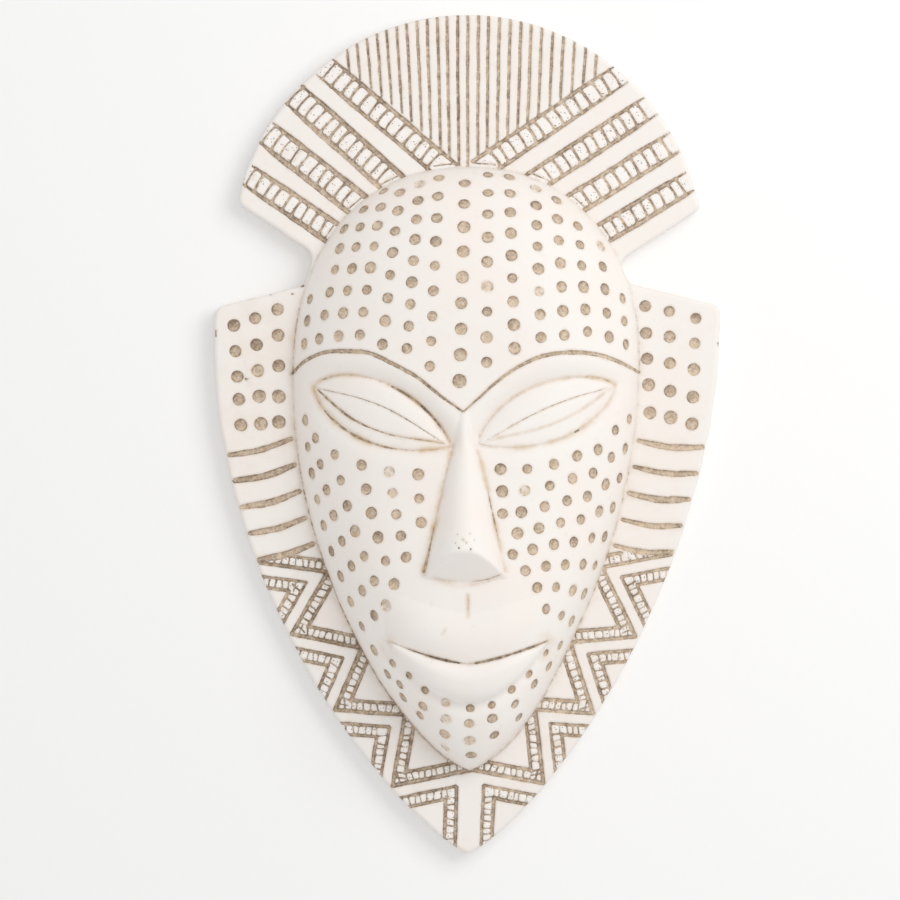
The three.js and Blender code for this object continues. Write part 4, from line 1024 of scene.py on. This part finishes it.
def dot_rings(dots):
    """Rings of points in and round each dot, drawn in along the slope so that they lie on its rim."""
    x, y, slope_x, slope_y, radius = dots.T
    steep = np.sqrt(1 + slope_x ** 2 + slope_y ** 2)
    fall = np.arctan2(slope_y, slope_x)
    down = points_on(np.cos(fall), np.sin(fall))
    level = points_on(-down[:, 1], down[:, 0])
    rings = [points_on(x, y)]
    for offset, count in ((-1.9, 5), (-1.1, 9), (-0.45, 13), (0.02, 16), (0.3, 16), (0.9, 14)):
        for turn in 2 * np.pi * np.arange(count) / count:
            reach = radius + offset
            drawn_in = (np.cos(turn) * reach / steep)[:, None] * down
            rings.append(points_on(x, y) + drawn_in + (np.sin(turn) * reach)[:, None] * level)
    return np.concatenate(rings)


def foot_rows():
    """Rows of points along the dome's foot, just outside it and up its steep side."""
    y = foot_heights(np.linspace(0, 1, 420), 0.4)
    rows = []
    for ratio in (1.012, 1.004, 0.999, 0.996, 0.991, 0.984, 0.972, 0.955, 0.93, 0.9):
        inner_y = CHEEK_Y + (y - CHEEK_Y) * ratio
        for sign in (1, -1):
            rows.append(points_on(face_middle(inner_y) + sign * ratio * foot_half_width(y), inner_y))
    return np.concatenate(rows)


def even_fill(pitch):
    """Points of a triangular grid over the whole plate."""
    x, y = np.meshgrid(np.arange(-108, 108, pitch), np.arange(-176, 176, pitch * 0.866))
    x = x + (np.arange(x.shape[0]) % 2)[:, None] * pitch / 2
    return points_on(x.ravel(), y.ravel())


def at_features(points):
    """Whether points lie round the nose, the mouth or the eyes."""
    x, y = points.T
    close = [(np.abs(x - middle) < half) & (y > low) & (y < high) for middle, half, low, high in FEATURES]
    return np.any(close, axis=0) & (dome_ratio(x, y) < 0.97)


def skin_points(layers, outline, strokes, face, dots):
    """Points of the front, most important first: rim rows, stroke rows, dot rings, foot rows and an
    even filling that is finest round the features. A point that falls in a cell already taken is left
    out. Each group has its margin to the rim and the size of its cells."""
    on_plate = []
    for made in strokes:
        offsets = (-0.02, 0.32) if made["half"].mean() < 0.5 else (-0.45, -0.02, 0.25, 0.8)
        on_plate.append(rows_beside(made, offsets, made["spacing"]))
    on_plate = np.concatenate(on_plate)
    on_plate = on_plate[dome_ratio(*on_plate.T) > 1.006]
    on_face = np.concatenate([rows_beside(made, (-0.02, 0.25, 0.8, 1.6), 0.9) for made in face])
    on_face = on_face[dome_ratio(*on_face.T) < 1.006]
    fine, middling = even_fill(1.0), even_fill(1.6)
    groups = [(outline + inwards(outline) * inset, 0.1, 0.3) for inset in RIM_INSETS]
    groups += [(on_plate, 0.3, 0.26), (on_face, 0.3, 0.3)]
    groups += [(dot_rings(dots), 0.3, 0.34), (foot_rows(), 0.3, 0.3)]
    groups += [(fine[at_features(fine)], 0.3, 0.75), (middling[dome_ratio(*middling.T) < 1], 0.3, 1.2)]
    groups.append((even_fill(2.6), 0.3, 1.8))
    inside, sizes = [], []
    for points, margin, size in groups:
        inside.append(points[(layers.read(layers.rim, points) > margin) & is_inside(outline, points)])
        sizes.append(np.full(len(inside[-1]), size))
    points, sizes = np.concatenate(inside), np.concatenate(sizes)
    keep = np.ones(len(points), bool)
    for size in np.unique(sizes):
        key = np.floor(points / size).astype(np.int64) @ np.array([100003, 1])
        lone = np.zeros(len(points), bool)
        lone[np.unique(key, return_index=True)[1]] = True
        keep &= lone | (sizes != size)
    return points[keep]


def is_inside(outline, points):
    """Whether points lie inside the outline: how many of its edges a ray to the right crosses."""
    a, b = outline, np.roll(outline, -1, 0)
    inside = np.zeros(len(points), bool)
    order = np.argsort(points[:, 1])
    y = points[order, 1]
    for (ax, ay), (bx, by) in zip(a, b):
        low, high = np.searchsorted(y, (min(ay, by), max(ay, by)))
        if low == high:
            continue
        rows = order[low:high]
        at = ax + (points[rows, 1] - ay) / (by - ay) * (bx - ax)
        inside[rows] ^= points[rows, 0] < at
    return inside


def joined(points, loops):
    """Joins points into triangles so that no circle through a triangle holds another point, with the
    closed loops kept as edges. Gives the points, the triangles and where each loop's points went."""
    starts = np.cumsum([0] + [len(loop) for loop in loops])
    edges = []
    for first, loop in zip(starts, loops):
        ids = list(range(first, first + len(loop)))
        edges += list(zip(ids, ids[1:] + ids[:1]))
    verts = [Vector(p) for p in np.concatenate(loops + [points])]
    made = geometry.delaunay_2d_cdt(verts, edges, [], 1, 1e-7, True)
    where = {old: new for new, olds in enumerate(made[3]) for old in olds}
    ids = [np.array([where[i] for i in range(a, b)]) for a, b in zip(starts[:-1], starts[1:])]
    return np.array([tuple(v) for v in made[0]]), np.array(made[2]), ids


def hollow_reach(turn):
    """Distance from the hollow's middle to the dome's footprint in each direction."""
    reach = np.arange(20, 180, 0.2)
    x = np.outer(np.cos(turn), reach)
    y = np.outer(np.sin(turn), reach) + HOLLOW_Y
    return reach[np.argmax(dome_ratio(x, y) >= 1, axis=1)]


def hollow_rings(form):
    """The hollow behind the face on a grid of turn and ring: the dome drawn in from its edge and one
    wall lower, with a rounded lip at the back."""
    turn = 2 * np.pi * np.arange(HOLLOW_TURNS) / HOLLOW_TURNS
    full = hollow_reach(turn)
    full = (np.roll(full, 1) + 2 * full + np.roll(full, -1)) / 4
    inset, wall, plate = form.hollow_inset / MM, form.wall / MM, form.plate_thickness / MM

    def ring(reach, z):
        return np.stack([reach * np.cos(turn), reach * np.sin(turn) + HOLLOW_Y, z + np.zeros(len(turn))], 1)

    rings = [ring(full - inset + 1.0 + pull, z) for pull, z in ((0.0, 0.0), (-0.7, 0.35), (-1.0, 1.2))]
    for share in np.sin(np.linspace(1, 0, HOLLOW_RINGS + 1) * np.pi / 2)[:-1]:
        x, y, _ = ring(full * share, 0).T
        z = np.maximum(plate + dome_height(form, x, y) - wall, HOLLOW_LOWEST)
        z = z + 0.5 * patches(x, y, 16, 31) * smooth(2, 8, z)
        rings.append(ring((full - inset) * share, z))
    return rings


def mask_mesh(form):
    """The whole casting as one closed skin: the front, a side wall with a small bevel, the flat back
    and the hollow. Gives the vertices, the triangles, how many of these belong to the front, the first
    one of the back, and the layers."""
    rng = np.random.default_rng(7)
    layers, outline, strokes, face, dots = build_relief(form, rng)
    flat, front, (rim,) = joined(skin_points(layers, outline, strokes, face, dots), [outline])
    front = front[is_inside(outline, flat[front].mean(1))]
    top = np.column_stack([flat, layers.read(layers.height, flat)])
    count, inward = len(outline), inwards(outline)
    edges = [np.column_stack([outline + inward * inset, np.full(count, z)]) for inset, z in EDGE_RINGS]
    back_edge = outline + inward * BACK_INSET
    hollow = hollow_rings(form)
    mouth = hollow[0][:, :2]
    grid = np.meshgrid(np.arange(-100, 101, BACK_PITCH), np.arange(-168, 170, BACK_PITCH))
    grid = points_on(*grid).reshape(-1, 2)
    keep = is_inside(back_edge, grid) & (layers.read(layers.rim, grid) > 2.9) & ~is_inside(mouth * 1.03, grid)
    under, back, (back_rim, lip) = joined(grid[keep], [back_edge, mouth])
    middle = under[back].mean(1)
    back = back[is_inside(back_edge, middle) & ~is_inside(mouth, middle)][:, ::-1]
    crown = np.array([[0, HOLLOW_Y, hollow[-1][:, 2].mean()]])
    verts = [top] + edges + [np.column_stack([under, np.zeros(len(under))])] + hollow[1:] + [crown]
    start = np.cumsum([0] + [len(v) for v in verts])
    faces = [front]
    loops = [rim] + [first + np.arange(count) for first in start[1:4]] + [start[4] + back_rim]
    faces += [strip(above, below) for above, below in zip(loops[:-1], loops[1:])]
    first_back = sum(map(len, faces))
    faces.append(back + start[4])
    loops = [start[4] + lip] + [first + np.arange(HOLLOW_TURNS) for first in start[5:-2]]
    faces += [strip(low, high) for low, high in zip(loops[:-1], loops[1:])]
    last = loops[-1]
    faces.append(np.stack([last, np.roll(last, -1), np.full(HOLLOW_TURNS, start[-2])], 1)[:, ::-1])
    return np.concatenate(verts), np.concatenate(faces), len(front), first_back, layers


def strip(above, below):
    """Triangles between two closed loops of the same length."""
    a, b = np.roll(above, -1), np.roll(below, -1)
    return np.concatenate([np.stack([above, below, a], 1), np.stack([a, below, b], 1)])


def build_mask(form):
    """The casting's mesh with the front's own normals and the layers that its finish reads."""
    verts, faces, on_front, first_back, layers = mask_mesh(form)
    corner = verts[faces]
    normal = np.cross(corner[:, 1] - corner[:, 0], corner[:, 2] - corner[:, 0])
    if (corner[:, 0] * np.cross(corner[:, 1], corner[:, 2])).sum() < 0:
        raise RuntimeError("the mask's faces point inwards")
    smooth_normal = np.zeros_like(verts)
    for k in range(3):
        np.add.at(smooth_normal, faces[:, k], normal)
    front_verts = np.unique(faces[:on_front])
    flat = verts[front_verts, :2]
    slopes = [layers.read(layers.slope_x, flat), layers.read(layers.slope_y, flat)]
    level = np.stack([-slopes[0], -slopes[1], np.ones(len(flat))], 1)
    inner = layers.read(layers.rim, flat) > 0.2
    smooth_normal[front_verts[inner]] = level[inner]
    smooth_normal /= np.linalg.norm(smooth_normal, axis=1)[:, None]
    mesh = bpy.data.meshes.new("mask_casting")
    mesh.vertices.add(len(verts))
    mesh.vertices.foreach_set("co", (verts * MM).ravel())
    mesh.loops.add(faces.size)
    mesh.loops.foreach_set("vertex_index", faces.ravel())
    mesh.polygons.add(len(faces))
    mesh.polygons.foreach_set("loop_start", np.arange(0, faces.size, 3))
    mesh.polygons.foreach_set("material_index", (np.arange(len(faces)) >= first_back).astype(np.int32))
    mesh.update(calc_edges=True)
    mesh.validate()
    for name, layer, outside in (
        ("edge", layers.edge, FAR), ("tone", layers.tone, 0.5), ("cover", layers.cover, 1.0),
        ("stain", layers.stain, 0.0), ("beads", layers.beads, 0.0),
    ):
        values = np.full(len(verts), outside, np.float32)
        values[front_verts] = layers.read(layer, flat)
        mesh.attributes.new(name, "FLOAT", "POINT").data.foreach_set("value", values)
    mesh.shade_smooth()
    mesh.normals_split_custom_set_from_vertices(smooth_normal.tolist())
    return mesh


# Finishes

class Nodes:
    """Short ways to place and join nodes in one tree. A value is a plain one or another node's output."""

    def __init__(self, tree):
        self.tree = tree

    def add(self, kind, **settings):
        """A new node with its settings."""
        node = self.tree.nodes.new(kind)
        for name, value in settings.items():
            setattr(node, name, value)
        return node

    def put(self, value, target):
        """Joins an output to an input, or sets the input to a plain value."""
        if hasattr(value, "is_output"):
            self.tree.links.new(value, target)
        else:
            target.default_value = value

    def fill(self, node, values):
        """Puts values into a node's inputs by their names."""
        for name, value in values.items():
            self.put(value, node.inputs[name])
        return node

    def place(self, group, values):
        """A node group with its inputs filled."""
        return self.fill(self.add("ShaderNodeGroup", node_tree=group), values).outputs

    def math(self, operation, *values):
        """One step of arithmetic."""
        node = self.add("ShaderNodeMath", operation=operation)
        for value, target in zip(values, node.inputs):
            self.put(value, target)
        return node.outputs[0]

    def times(self, a, b):
        return self.math("MULTIPLY", a, b)

    def minus(self, a, b):
        return self.math("SUBTRACT", a, b)

    def plus(self, total, *others):
        """The sum of two or more values."""
        for other in others:
            total = self.math("ADD", total, other)
        return total

    def fade(self, value, low, high, out_low=0.0, out_high=1.0):
        """A smooth step from one value to another."""
        node = self.add("ShaderNodeMapRange", interpolation_type="SMOOTHSTEP")
        for number, item in enumerate((value, low, high, out_low, out_high)):
            self.put(item, node.inputs[number])
        return node.outputs[0]

    def noise(self, where, scale, detail=2.0, rough=0.5):
        """Cloudy noise round 0.5. The scale is about the number of its waves in a metre."""
        node = self.add("ShaderNodeTexNoise")
        self.fill(node, {"Vector": where, "Scale": scale, "Detail": detail, "Roughness": rough})
        return node.outputs["Fac"]

    def mix(self, factor, a, b):
        """The colour a, with b over it by the factor."""
        node = self.add("ShaderNodeMix", data_type="RGBA", blend_type="MIX")
        for value, number in ((factor, 0), (a, 6), (b, 7)):
            self.put(value, node.inputs[number])
        return node.outputs[2]

    def bump(self, shader, height, strength, distance):
        """Lets a height tilt the shader's normal."""
        node = self.add("ShaderNodeBump")
        self.fill(node, {"Strength": strength, "Distance": distance, "Height": height})
        self.put(node.outputs[0], shader.inputs["Normal"])


def new_group(name, inputs, outputs):
    """A node group with named sockets. An input's default tells its kind: none for a place, four
    numbers for a colour, one for a value. Gives the group, its nodes, and its two ends."""
    group = bpy.data.node_groups.new(name, "ShaderNodeTree")
    for label, value in inputs.items():
        kind = "Vector" if value is None else "Color" if isinstance(value, tuple) else "Float"
        made = group.interface.new_socket(name=label, in_out="INPUT", socket_type="NodeSocket" + kind)
        if value is not None:
            made.default_value = value
    for label, kind in outputs.items():
        group.interface.new_socket(name=label, in_out="OUTPUT", socket_type="NodeSocket" + kind)
    nodes = Nodes(group)
    return group, nodes, nodes.add("NodeGroupInput").outputs, nodes.add("NodeGroupOutput").inputs


def wash_group():
    """Brown wash held by the carving. The edge of the wash is the carving's edge, broken by fine
    noise; it is darker where it gathered against the edge and patchy where the cover is low. Edge is
    the distance to the carving's edge in millimetres, below zero inside the carving."""
    group, n, given, out = new_group(
        "Gathered Wash",
        {"Position": None, "Edge": FAR, "Tone": 0.5, "Cover": 1.0, "Pale": (0.6, 0.5, 0.38, 1),
         "Dark": (0.3, 0.22, 0.16, 1), "Rusty": (0.5, 0.36, 0.24, 1), "Roughen": 0.25},
        {"Mask": "Float", "Color": "Color"})
    where, cover = given["Position"], given["Cover"]
    fine = n.minus(n.noise(where, 1500.0, 3.0, 0.6), 0.5)
    broad = n.noise(where, 420.0, 2.0, 0.55)
    slow = n.noise(where, 130.0, 2.0, 0.5)
    crumbs = n.noise(where, 900.0, 3.0, 0.6)
    edge = n.plus(given["Edge"], n.times(fine, n.times(given["Roughen"], 2.0)))

    body = n.fade(edge, 0.1, -0.18)
    limit = n.minus(0.8, n.times(cover, 0.75))
    worn = n.fade(n.plus(broad, n.times(fine, 0.5)), limit, n.plus(limit, 0.45))
    worn = n.math("MAXIMUM", worn, n.times(cover, 0.32))
    solid = n.times(n.fade(cover, 0.9, 1.0), 0.96)
    specks = n.times(n.fade(n.noise(where, 780.0, 4.0, 0.65), 0.56, 0.72), n.fade(edge, -0.1, -0.7))
    mask = n.times(body, n.math("MAXIMUM", worn, solid))
    n.put(n.times(mask, n.minus(1.0, n.times(specks, 0.5))), out["Mask"])

    gathered = n.times(n.fade(edge, -0.85, -0.15), n.fade(broad, 0.3, 0.65, 0.4, 1.0))
    shade = n.plus(
        n.times(given["Tone"], 0.85), n.times(gathered, 0.5), n.times(n.minus(broad, 0.5), 1.1),
        n.times(n.minus(crumbs, 0.54), 1.5), n.times(fine, 0.6), n.times(n.minus(slow, 0.5), 0.9))
    held = n.math("MINIMUM", n.math("MAXIMUM", shade, 0.0), 1.0)
    rust = n.times(n.fade(n.noise(where, 480.0, 3.0, 0.6), 0.48, 0.7), 0.6)
    n.put(n.mix(rust, n.mix(held, given["Pale"], given["Dark"]), given["Rusty"]), out["Color"])
    return group


def mottle_and_bead_highlight_group():
    """Slow changes of tint over the casting, a painted highlight that lightens the beads, thin dirt that
    fades out from the carving, and ochre stains."""
    group, n, given, out = new_group(
        "Cast Mottle and Bead Highlight",
        {"Position": None, "Edge": FAR, "Base": (0.9, 0.87, 0.83, 1), "Warm": (0.9, 0.84, 0.78, 1),
         "Dirt": (0.7, 0.64, 0.56, 1), "Dirt Amount": 0.3, "Stain": 0.0, "Ochre": (0.8, 0.66, 0.5, 1),
         "Highlight": 0.0},
        {"Color": "Color"})
    where = given["Position"]
    slow = n.noise(where, 38.0, 3.0, 0.55)
    mid = n.noise(where, 210.0, 3.0, 0.6)
    color = n.mix(n.fade(slow, 0.35, 0.7), given["Base"], given["Warm"])
    # Painted highlight: the beads are made lighter than the resin round them.
    color = n.mix(given["Highlight"], color, BEAD_PAINTED_HIGHLIGHT)
    halo = n.times(n.fade(given["Edge"], 1.1, 0.0), n.fade(mid, 0.35, 0.75, 0.15, 1.0))
    spots = n.times(n.fade(mid, 0.6, 0.8), 0.35)
    color = n.mix(n.times(n.plus(halo, spots), given["Dirt Amount"]), color, given["Dirt"])
    patchy = n.fade(n.noise(where, 95.0, 3.0, 0.6), 0.38, 0.66)
    stain = n.times(given["Stain"], n.plus(0.25, n.times(patchy, 1.1)))
    n.put(n.mix(stain, color, given["Ochre"]), out["Color"])
    return group


def pinhole_group():
    """Casting grain and scattered pinholes: a few cells of a random pattern hold one small round
    hole each."""
    group, n, given, out = new_group(
        "Cast Pinholes",
        {"Position": None, "Scale": 190.0, "Share": 0.1, "Size": 0.05},
        {"Holes": "Float", "Height": "Float"})
    where = given["Position"]
    cells = n.add("ShaderNodeTexVoronoi", feature="F1")
    n.fill(cells, {"Vector": where, "Scale": given["Scale"], "Randomness": 1.0})
    split = n.add("ShaderNodeSeparateColor")
    n.put(cells.outputs["Color"], split.inputs[0])
    chosen = n.math("LESS_THAN", split.outputs[0], given["Share"])
    size = n.times(given["Size"], n.plus(0.5, split.outputs[1]))
    holes = n.times(n.fade(n.math("DIVIDE", cells.outputs["Distance"], size), 1.2, 0.7), chosen)
    grain = n.times(n.noise(where, 1300.0, 4.0, 0.6), 0.35)
    low = n.times(n.noise(where, 260.0, 2.0, 0.5), 0.5)
    n.put(holes, out["Holes"])
    n.put(n.minus(n.plus(grain, low), n.times(holes, 1.2)), out["Height"])
    return group


def linear(color):
    """A colour written as screen values, as the light values the shader wants."""
    c = np.asarray(color[:3], float)
    return tuple(np.where(c <= 0.04045, c / 12.92, ((c + 0.055) / 1.055) ** 2.4)) + (1.0,)


def new_material(name):
    """A material, its nodes, its shader and the place on the piece."""
    material = bpy.data.materials.new(name)
    material.use_nodes = True
    n = Nodes(material.node_tree)
    return material, n, n.tree.nodes["Principled BSDF"], n.add("ShaderNodeTexCoord").outputs["Object"]


def resin_material(finish, groups):
    """Off-white casting resin with brown wash in its carving. The mesh keeps the layers that it reads."""
    material, n, shader, where = new_material("washed_resin")
    kept = {
        name: n.add("ShaderNodeAttribute", attribute_name=name).outputs["Fac"]
        for name in ("edge", "tone", "cover", "stain", "beads")
    }
    dark = linear(finish.dark_wash)
    wash = n.place(groups["wash"], {
        "Position": where, "Edge": kept["edge"], "Tone": kept["tone"], "Cover": kept["cover"],
        "Pale": linear(finish.pale_wash), "Dark": dark, "Rusty": linear(finish.rusty_wash)})
    # The mottle gives the beads a painted highlight, lifting them towards the lightest resin.
    mottle = n.place(groups["mottle"], {
        "Position": where, "Edge": kept["edge"], "Stain": kept["stain"],
        "Highlight": n.times(kept["beads"], 0.6), "Base": linear(finish.resin),
        "Warm": linear(finish.warm_resin), "Dirt": linear(finish.dirt), "Dirt Amount": finish.dirt_amount,
        "Ochre": linear(finish.ochre)})
    pin = n.place(groups["pinholes"], {"Position": where, "Share": finish.pinholes})
    bead_pin = n.place(groups["pinholes"], {
        "Position": where, "Scale": 900.0, "Share": finish.bead_pinholes, "Size": 0.2})
    in_beads = n.times(bead_pin["Holes"], n.fade(kept["beads"], 0.1, 0.5))
    color = n.mix(wash["Mask"], mottle["Color"], wash["Color"])
    color = n.mix(n.times(pin["Holes"], 0.75), color, dark)
    n.put(n.mix(n.times(in_beads, 0.85), color, dark), shader.inputs["Base Color"])
    n.put(n.plus(0.62, n.times(wash["Mask"], 0.2)), shader.inputs["Roughness"])
    shader.inputs["Specular IOR Level"].default_value = 0.35
    n.bump(shader, n.minus(pin["Height"], in_beads), 0.35, 0.0002)
    return material


def back_material(finish, groups):
    """The back as it left the mould: the same resin unwashed, duller, with long sanding marks."""
    material, n, shader, where = new_material("sanded_back")
    dirt = linear(finish.dirt)
    mottle = n.place(groups["mottle"], {
        "Position": where, "Base": linear(finish.back), "Warm": linear(finish.warm_resin), "Dirt": dirt,
        "Dirt Amount": 1.0})
    pin = n.place(groups["pinholes"], {"Position": where, "Scale": 140.0, "Share": 0.3, "Size": 0.07})
    stretch = n.add("ShaderNodeMapping")
    n.fill(stretch, {"Vector": where, "Rotation": (0, 0, 0.5), "Scale": (1, 14, 1)})
    marks = n.noise(stretch.outputs[0], 110.0, 5.0, 0.65)
    color = n.mix(n.fade(marks, 0.55, 0.8, 0, 0.35), mottle["Color"], dirt)
    color = n.mix(n.times(pin["Holes"], 0.7), color, linear(finish.dark_wash))
    n.put(color, shader.inputs["Base Color"])
    n.put(n.fade(marks, 0.3, 0.7, 0.7, 0.9), shader.inputs["Roughness"])
    shader.inputs["Specular IOR Level"].default_value = 0.3
    n.bump(shader, n.plus(pin["Height"], marks), 0.5, 0.0003)
    return material


# Settings

def length(name, description, default):
    """A size in metres."""
    return FloatProperty(name=name, description=description, default=default, unit="LENGTH")


def tint(name, description, default):
    """A colour as the screen shows it."""
    return FloatVectorProperty(
        name=name, description=description, default=default, subtype="COLOR", size=3, min=0, max=1)


def part_of(name, description, default):
    """A share between nothing and all."""
    return FloatProperty(name=name, description=description, default=default, min=0, max=1, subtype="FACTOR")


class MaskForm(PropertyGroup):
    """Sizes of the casting"""
    plate_thickness: length("Plate thickness", "Flat plate behind the face", 0.011)
    rim_radius: length("Rim rounding", "Rounding of the plate's front edge", 0.0016)
    dome_rise: length("Face rise", "Height of the domed face over the plate", 0.036)
    muzzle_rise: length("Muzzle rise", "Extra fullness round the mouth", 0.004)
    nose_rise: length("Nose rise", "Height of the nose's tip over the face", 0.016)
    upper_lip: length("Upper lip", "Fullness of the upper lip", 0.0024)
    lower_lip: length("Lower lip", "Fullness of the lower lip", 0.0056)
    dot_radius: length("Dot radius", "Radius of a dot", 0.00242)
    dot_depth: length("Dot depth", "Depth of a dot", 0.0009)
    groove_depth: length("Groove depth", "Depth of the carved lines", 0.0009)
    wall: length("Wall", "Wall between the face and the hollow behind it", 0.009)
    hollow_inset: length("Hollow inset", "How far in from the face's foot the hollow starts", 0.0075)


class MaskFinish(PropertyGroup):
    """Colours of the resin and of the wash in its carving"""
    resin: tint("Resin", "Main off-white", (0.968, 0.95, 0.93))
    warm_resin: tint("Warm resin", "Warmer patches", (0.972, 0.94, 0.915))
    pale_wash: tint("Pale wash", "Thin brown wash", (0.87, 0.795, 0.705))
    dark_wash: tint("Dark wash", "Gathered brown wash", (0.535, 0.465, 0.4))
    rusty_wash: tint("Rusty wash", "Warmer patches of the wash", (0.7, 0.58, 0.45))
    back: tint("Back", "Unwashed resin of the back", (0.93, 0.905, 0.87))
    dirt: tint("Dirt", "Thin dirt beside the carving", (0.85, 0.79, 0.72))
    ochre: tint("Ochre", "Thin stain along the creases", (0.86, 0.77, 0.65))
    dirt_amount: part_of("Dirt amount", "How much thin dirt there is", 0.5)
    bead_pinholes: part_of("Bead pinholes", "Share of places with a pinhole in the beads", 0.85)
    pinholes: part_of("Pinholes", "Share of places with a pinhole", 0.03)


class MaskStage(PropertyGroup):
    """Floor, light and view"""
    image_span: length("View width", "Width that the view takes in at the plate", 0.3759)
    camera_height: length("Camera height", "Height of the camera over the mask", 5.0)
    camera_shift: FloatVectorProperty(
        name="View middle", description="Middle of the view on the mask", default=(-0.0074, -0.0067),
        size=2, unit="LENGTH")
    sky: FloatProperty(
        name="Even light", description="Strength of the even light from all round", default=0.74, min=0)
    key: FloatProperty(
        name="Key light", description="Power of the large soft lamp", default=3.9, min=0, unit="POWER")
    key_size: length("Key size", "Side of the large soft lamp", 0.7)
    floor_size: length("Floor size", "Side of the floor", 30.0)
    floor_cells: IntProperty(
        name="Floor cells", description="Cells along a side of the floor", default=8, min=1)


# Operators

class WALLMASK_OT_casting(Operator):
    """Make the mask: one closed casting with its carving, dots and hollow back"""
    bl_idname = "wallmask.casting"
    bl_label = "Mask Casting"

    def execute(self, context):
        form, finish = context.scene.wallmask_form, context.scene.wallmask_finish
        mesh = build_mask(form)
        piece = bpy.data.objects.new("mask_casting", mesh)
        context.scene.collection.objects.link(piece)
        groups = {"wash": wash_group(), "mottle": mottle_and_bead_highlight_group(), "pinholes": pinhole_group()}
        mesh.materials.append(resin_material(finish, groups))
        mesh.materials.append(back_material(finish, groups))
        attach(piece, "root")
        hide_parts("mask")
        return {"FINISHED"}


def pale_floor(setup):
    """The floor, a flat grid of square cells just under the mask, in matt white paper."""
    ends = np.linspace(-0.5, 0.5, setup.floor_cells + 1) * setup.floor_size
    x, y = np.meshgrid(ends, ends)
    verts = np.stack([x, y, np.full(x.shape, -FLOOR_DROP)], -1).reshape(-1, 3)
    row = len(ends)
    first = (np.arange(row - 1)[:, None] * row + np.arange(row - 1)).ravel()
    faces = np.stack([first, first + 1, first + row + 1, first + row], 1)
    mesh = bpy.data.meshes.new("pale_floor")
    mesh.from_pydata(verts.tolist(), [], faces.tolist())
    paper, n, shader, where = new_material("pale_paper")
    color = n.mix(n.noise(where, 300.0, 3.0), *PAPER_COLORS)
    n.put(color, shader.inputs["Base Color"])
    n.fill(shader, {"Roughness": 0.9, "Specular IOR Level": 0.1})
    mesh.materials.append(paper)
    return bpy.data.objects.new("pale_floor", mesh)


def soft_room(setup):
    """Even white light from all round."""
    world = bpy.data.worlds.new("soft_room")
    world.use_nodes = True
    light = world.node_tree.nodes["Background"]
    light.inputs["Color"].default_value = (1, 1, 1, 1)
    light.inputs["Strength"].default_value = setup.sky
    return world


def key_lamp(setup):
    """A large square lamp up on the right, turned to the mask."""
    lamp = bpy.data.lights.new("key_lamp", "AREA")
    lamp.size = setup.key_size
    lamp.energy = setup.key
    lamp.color = KEY_COLOR
    key = bpy.data.objects.new("key_lamp", lamp)
    key.location = KEY_PLACE
    key.rotation_euler = (-key.location).to_track_quat("-Z", "Y").to_euler()
    return key


def overhead_camera(setup, plate):
    """A camera straight over the mask, whose view is as wide as the setting at the plate's front."""
    view = bpy.data.cameras.new("overhead")
    view.sensor_width = SENSOR_WIDTH_MM
    view.lens = view.sensor_width * (setup.camera_height - plate) / setup.image_span
    view.clip_end = VIEW_END
    camera = bpy.data.objects.new("overhead", view)
    camera.location = (setup.camera_shift[0], setup.camera_shift[1], setup.camera_height)
    return camera


class WALLMASK_OT_stage(Operator):
    """Make the pale floor, the soft lights and the camera that looks straight down"""
    bl_idname = "wallmask.stage"
    bl_label = "Stage"

    def execute(self, context):
        scene, setup = context.scene, context.scene.wallmask_stage
        floor = pale_floor(setup)
        camera = overhead_camera(setup, scene.wallmask_form.plate_thickness)
        for thing in (floor, key_lamp(setup), camera):
            scene.collection.objects.link(thing)
        scene.world = soft_room(setup)
        scene.camera = camera
        scene.view_settings.view_transform = "Standard"
        return {"FINISHED"}


class WALLMASK_PT_sidebar(Panel):
    """The mask's sizes, colours and stage, and the buttons that build them"""
    bl_idname = "WALLMASK_PT_sidebar"
    bl_label = "Wall Mask"
    bl_space_type = "VIEW_3D"
    bl_region_type = "UI"
    bl_category = "Wall Mask"

    def draw(self, context):
        for group, operator in (
            (context.scene.wallmask_form, None),
            (context.scene.wallmask_finish, WALLMASK_OT_casting.bl_idname),
            (context.scene.wallmask_stage, WALLMASK_OT_stage.bl_idname),
        ):
            column = self.layout.column()
            for name in group.__annotations__:
                column.prop(group, name)
            if operator:
                column.operator(operator)


CLASSES = (MaskForm, MaskFinish, MaskStage, WALLMASK_OT_casting, WALLMASK_OT_stage, WALLMASK_PT_sidebar)


def register():
    """Makes the classes known to Blender, and the settings known to its scenes."""
    for cls in CLASSES:
        bpy.utils.register_class(cls)
    bpy.types.Scene.wallmask_form = PointerProperty(type=MaskForm)
    bpy.types.Scene.wallmask_finish = PointerProperty(type=MaskFinish)
    bpy.types.Scene.wallmask_stage = PointerProperty(type=MaskStage)


def unregister():
    """Undoes register."""
    del bpy.types.Scene.wallmask_stage
    del bpy.types.Scene.wallmask_finish
    del bpy.types.Scene.wallmask_form
    for cls in reversed(CLASSES):
        bpy.utils.unregister_class(cls)


def main():
    """Builds the mask and its stage."""
    register()
    bpy.ops.wallmask.casting()
    bpy.ops.wallmask.stage()


if __name__ == "__main__":
    main()
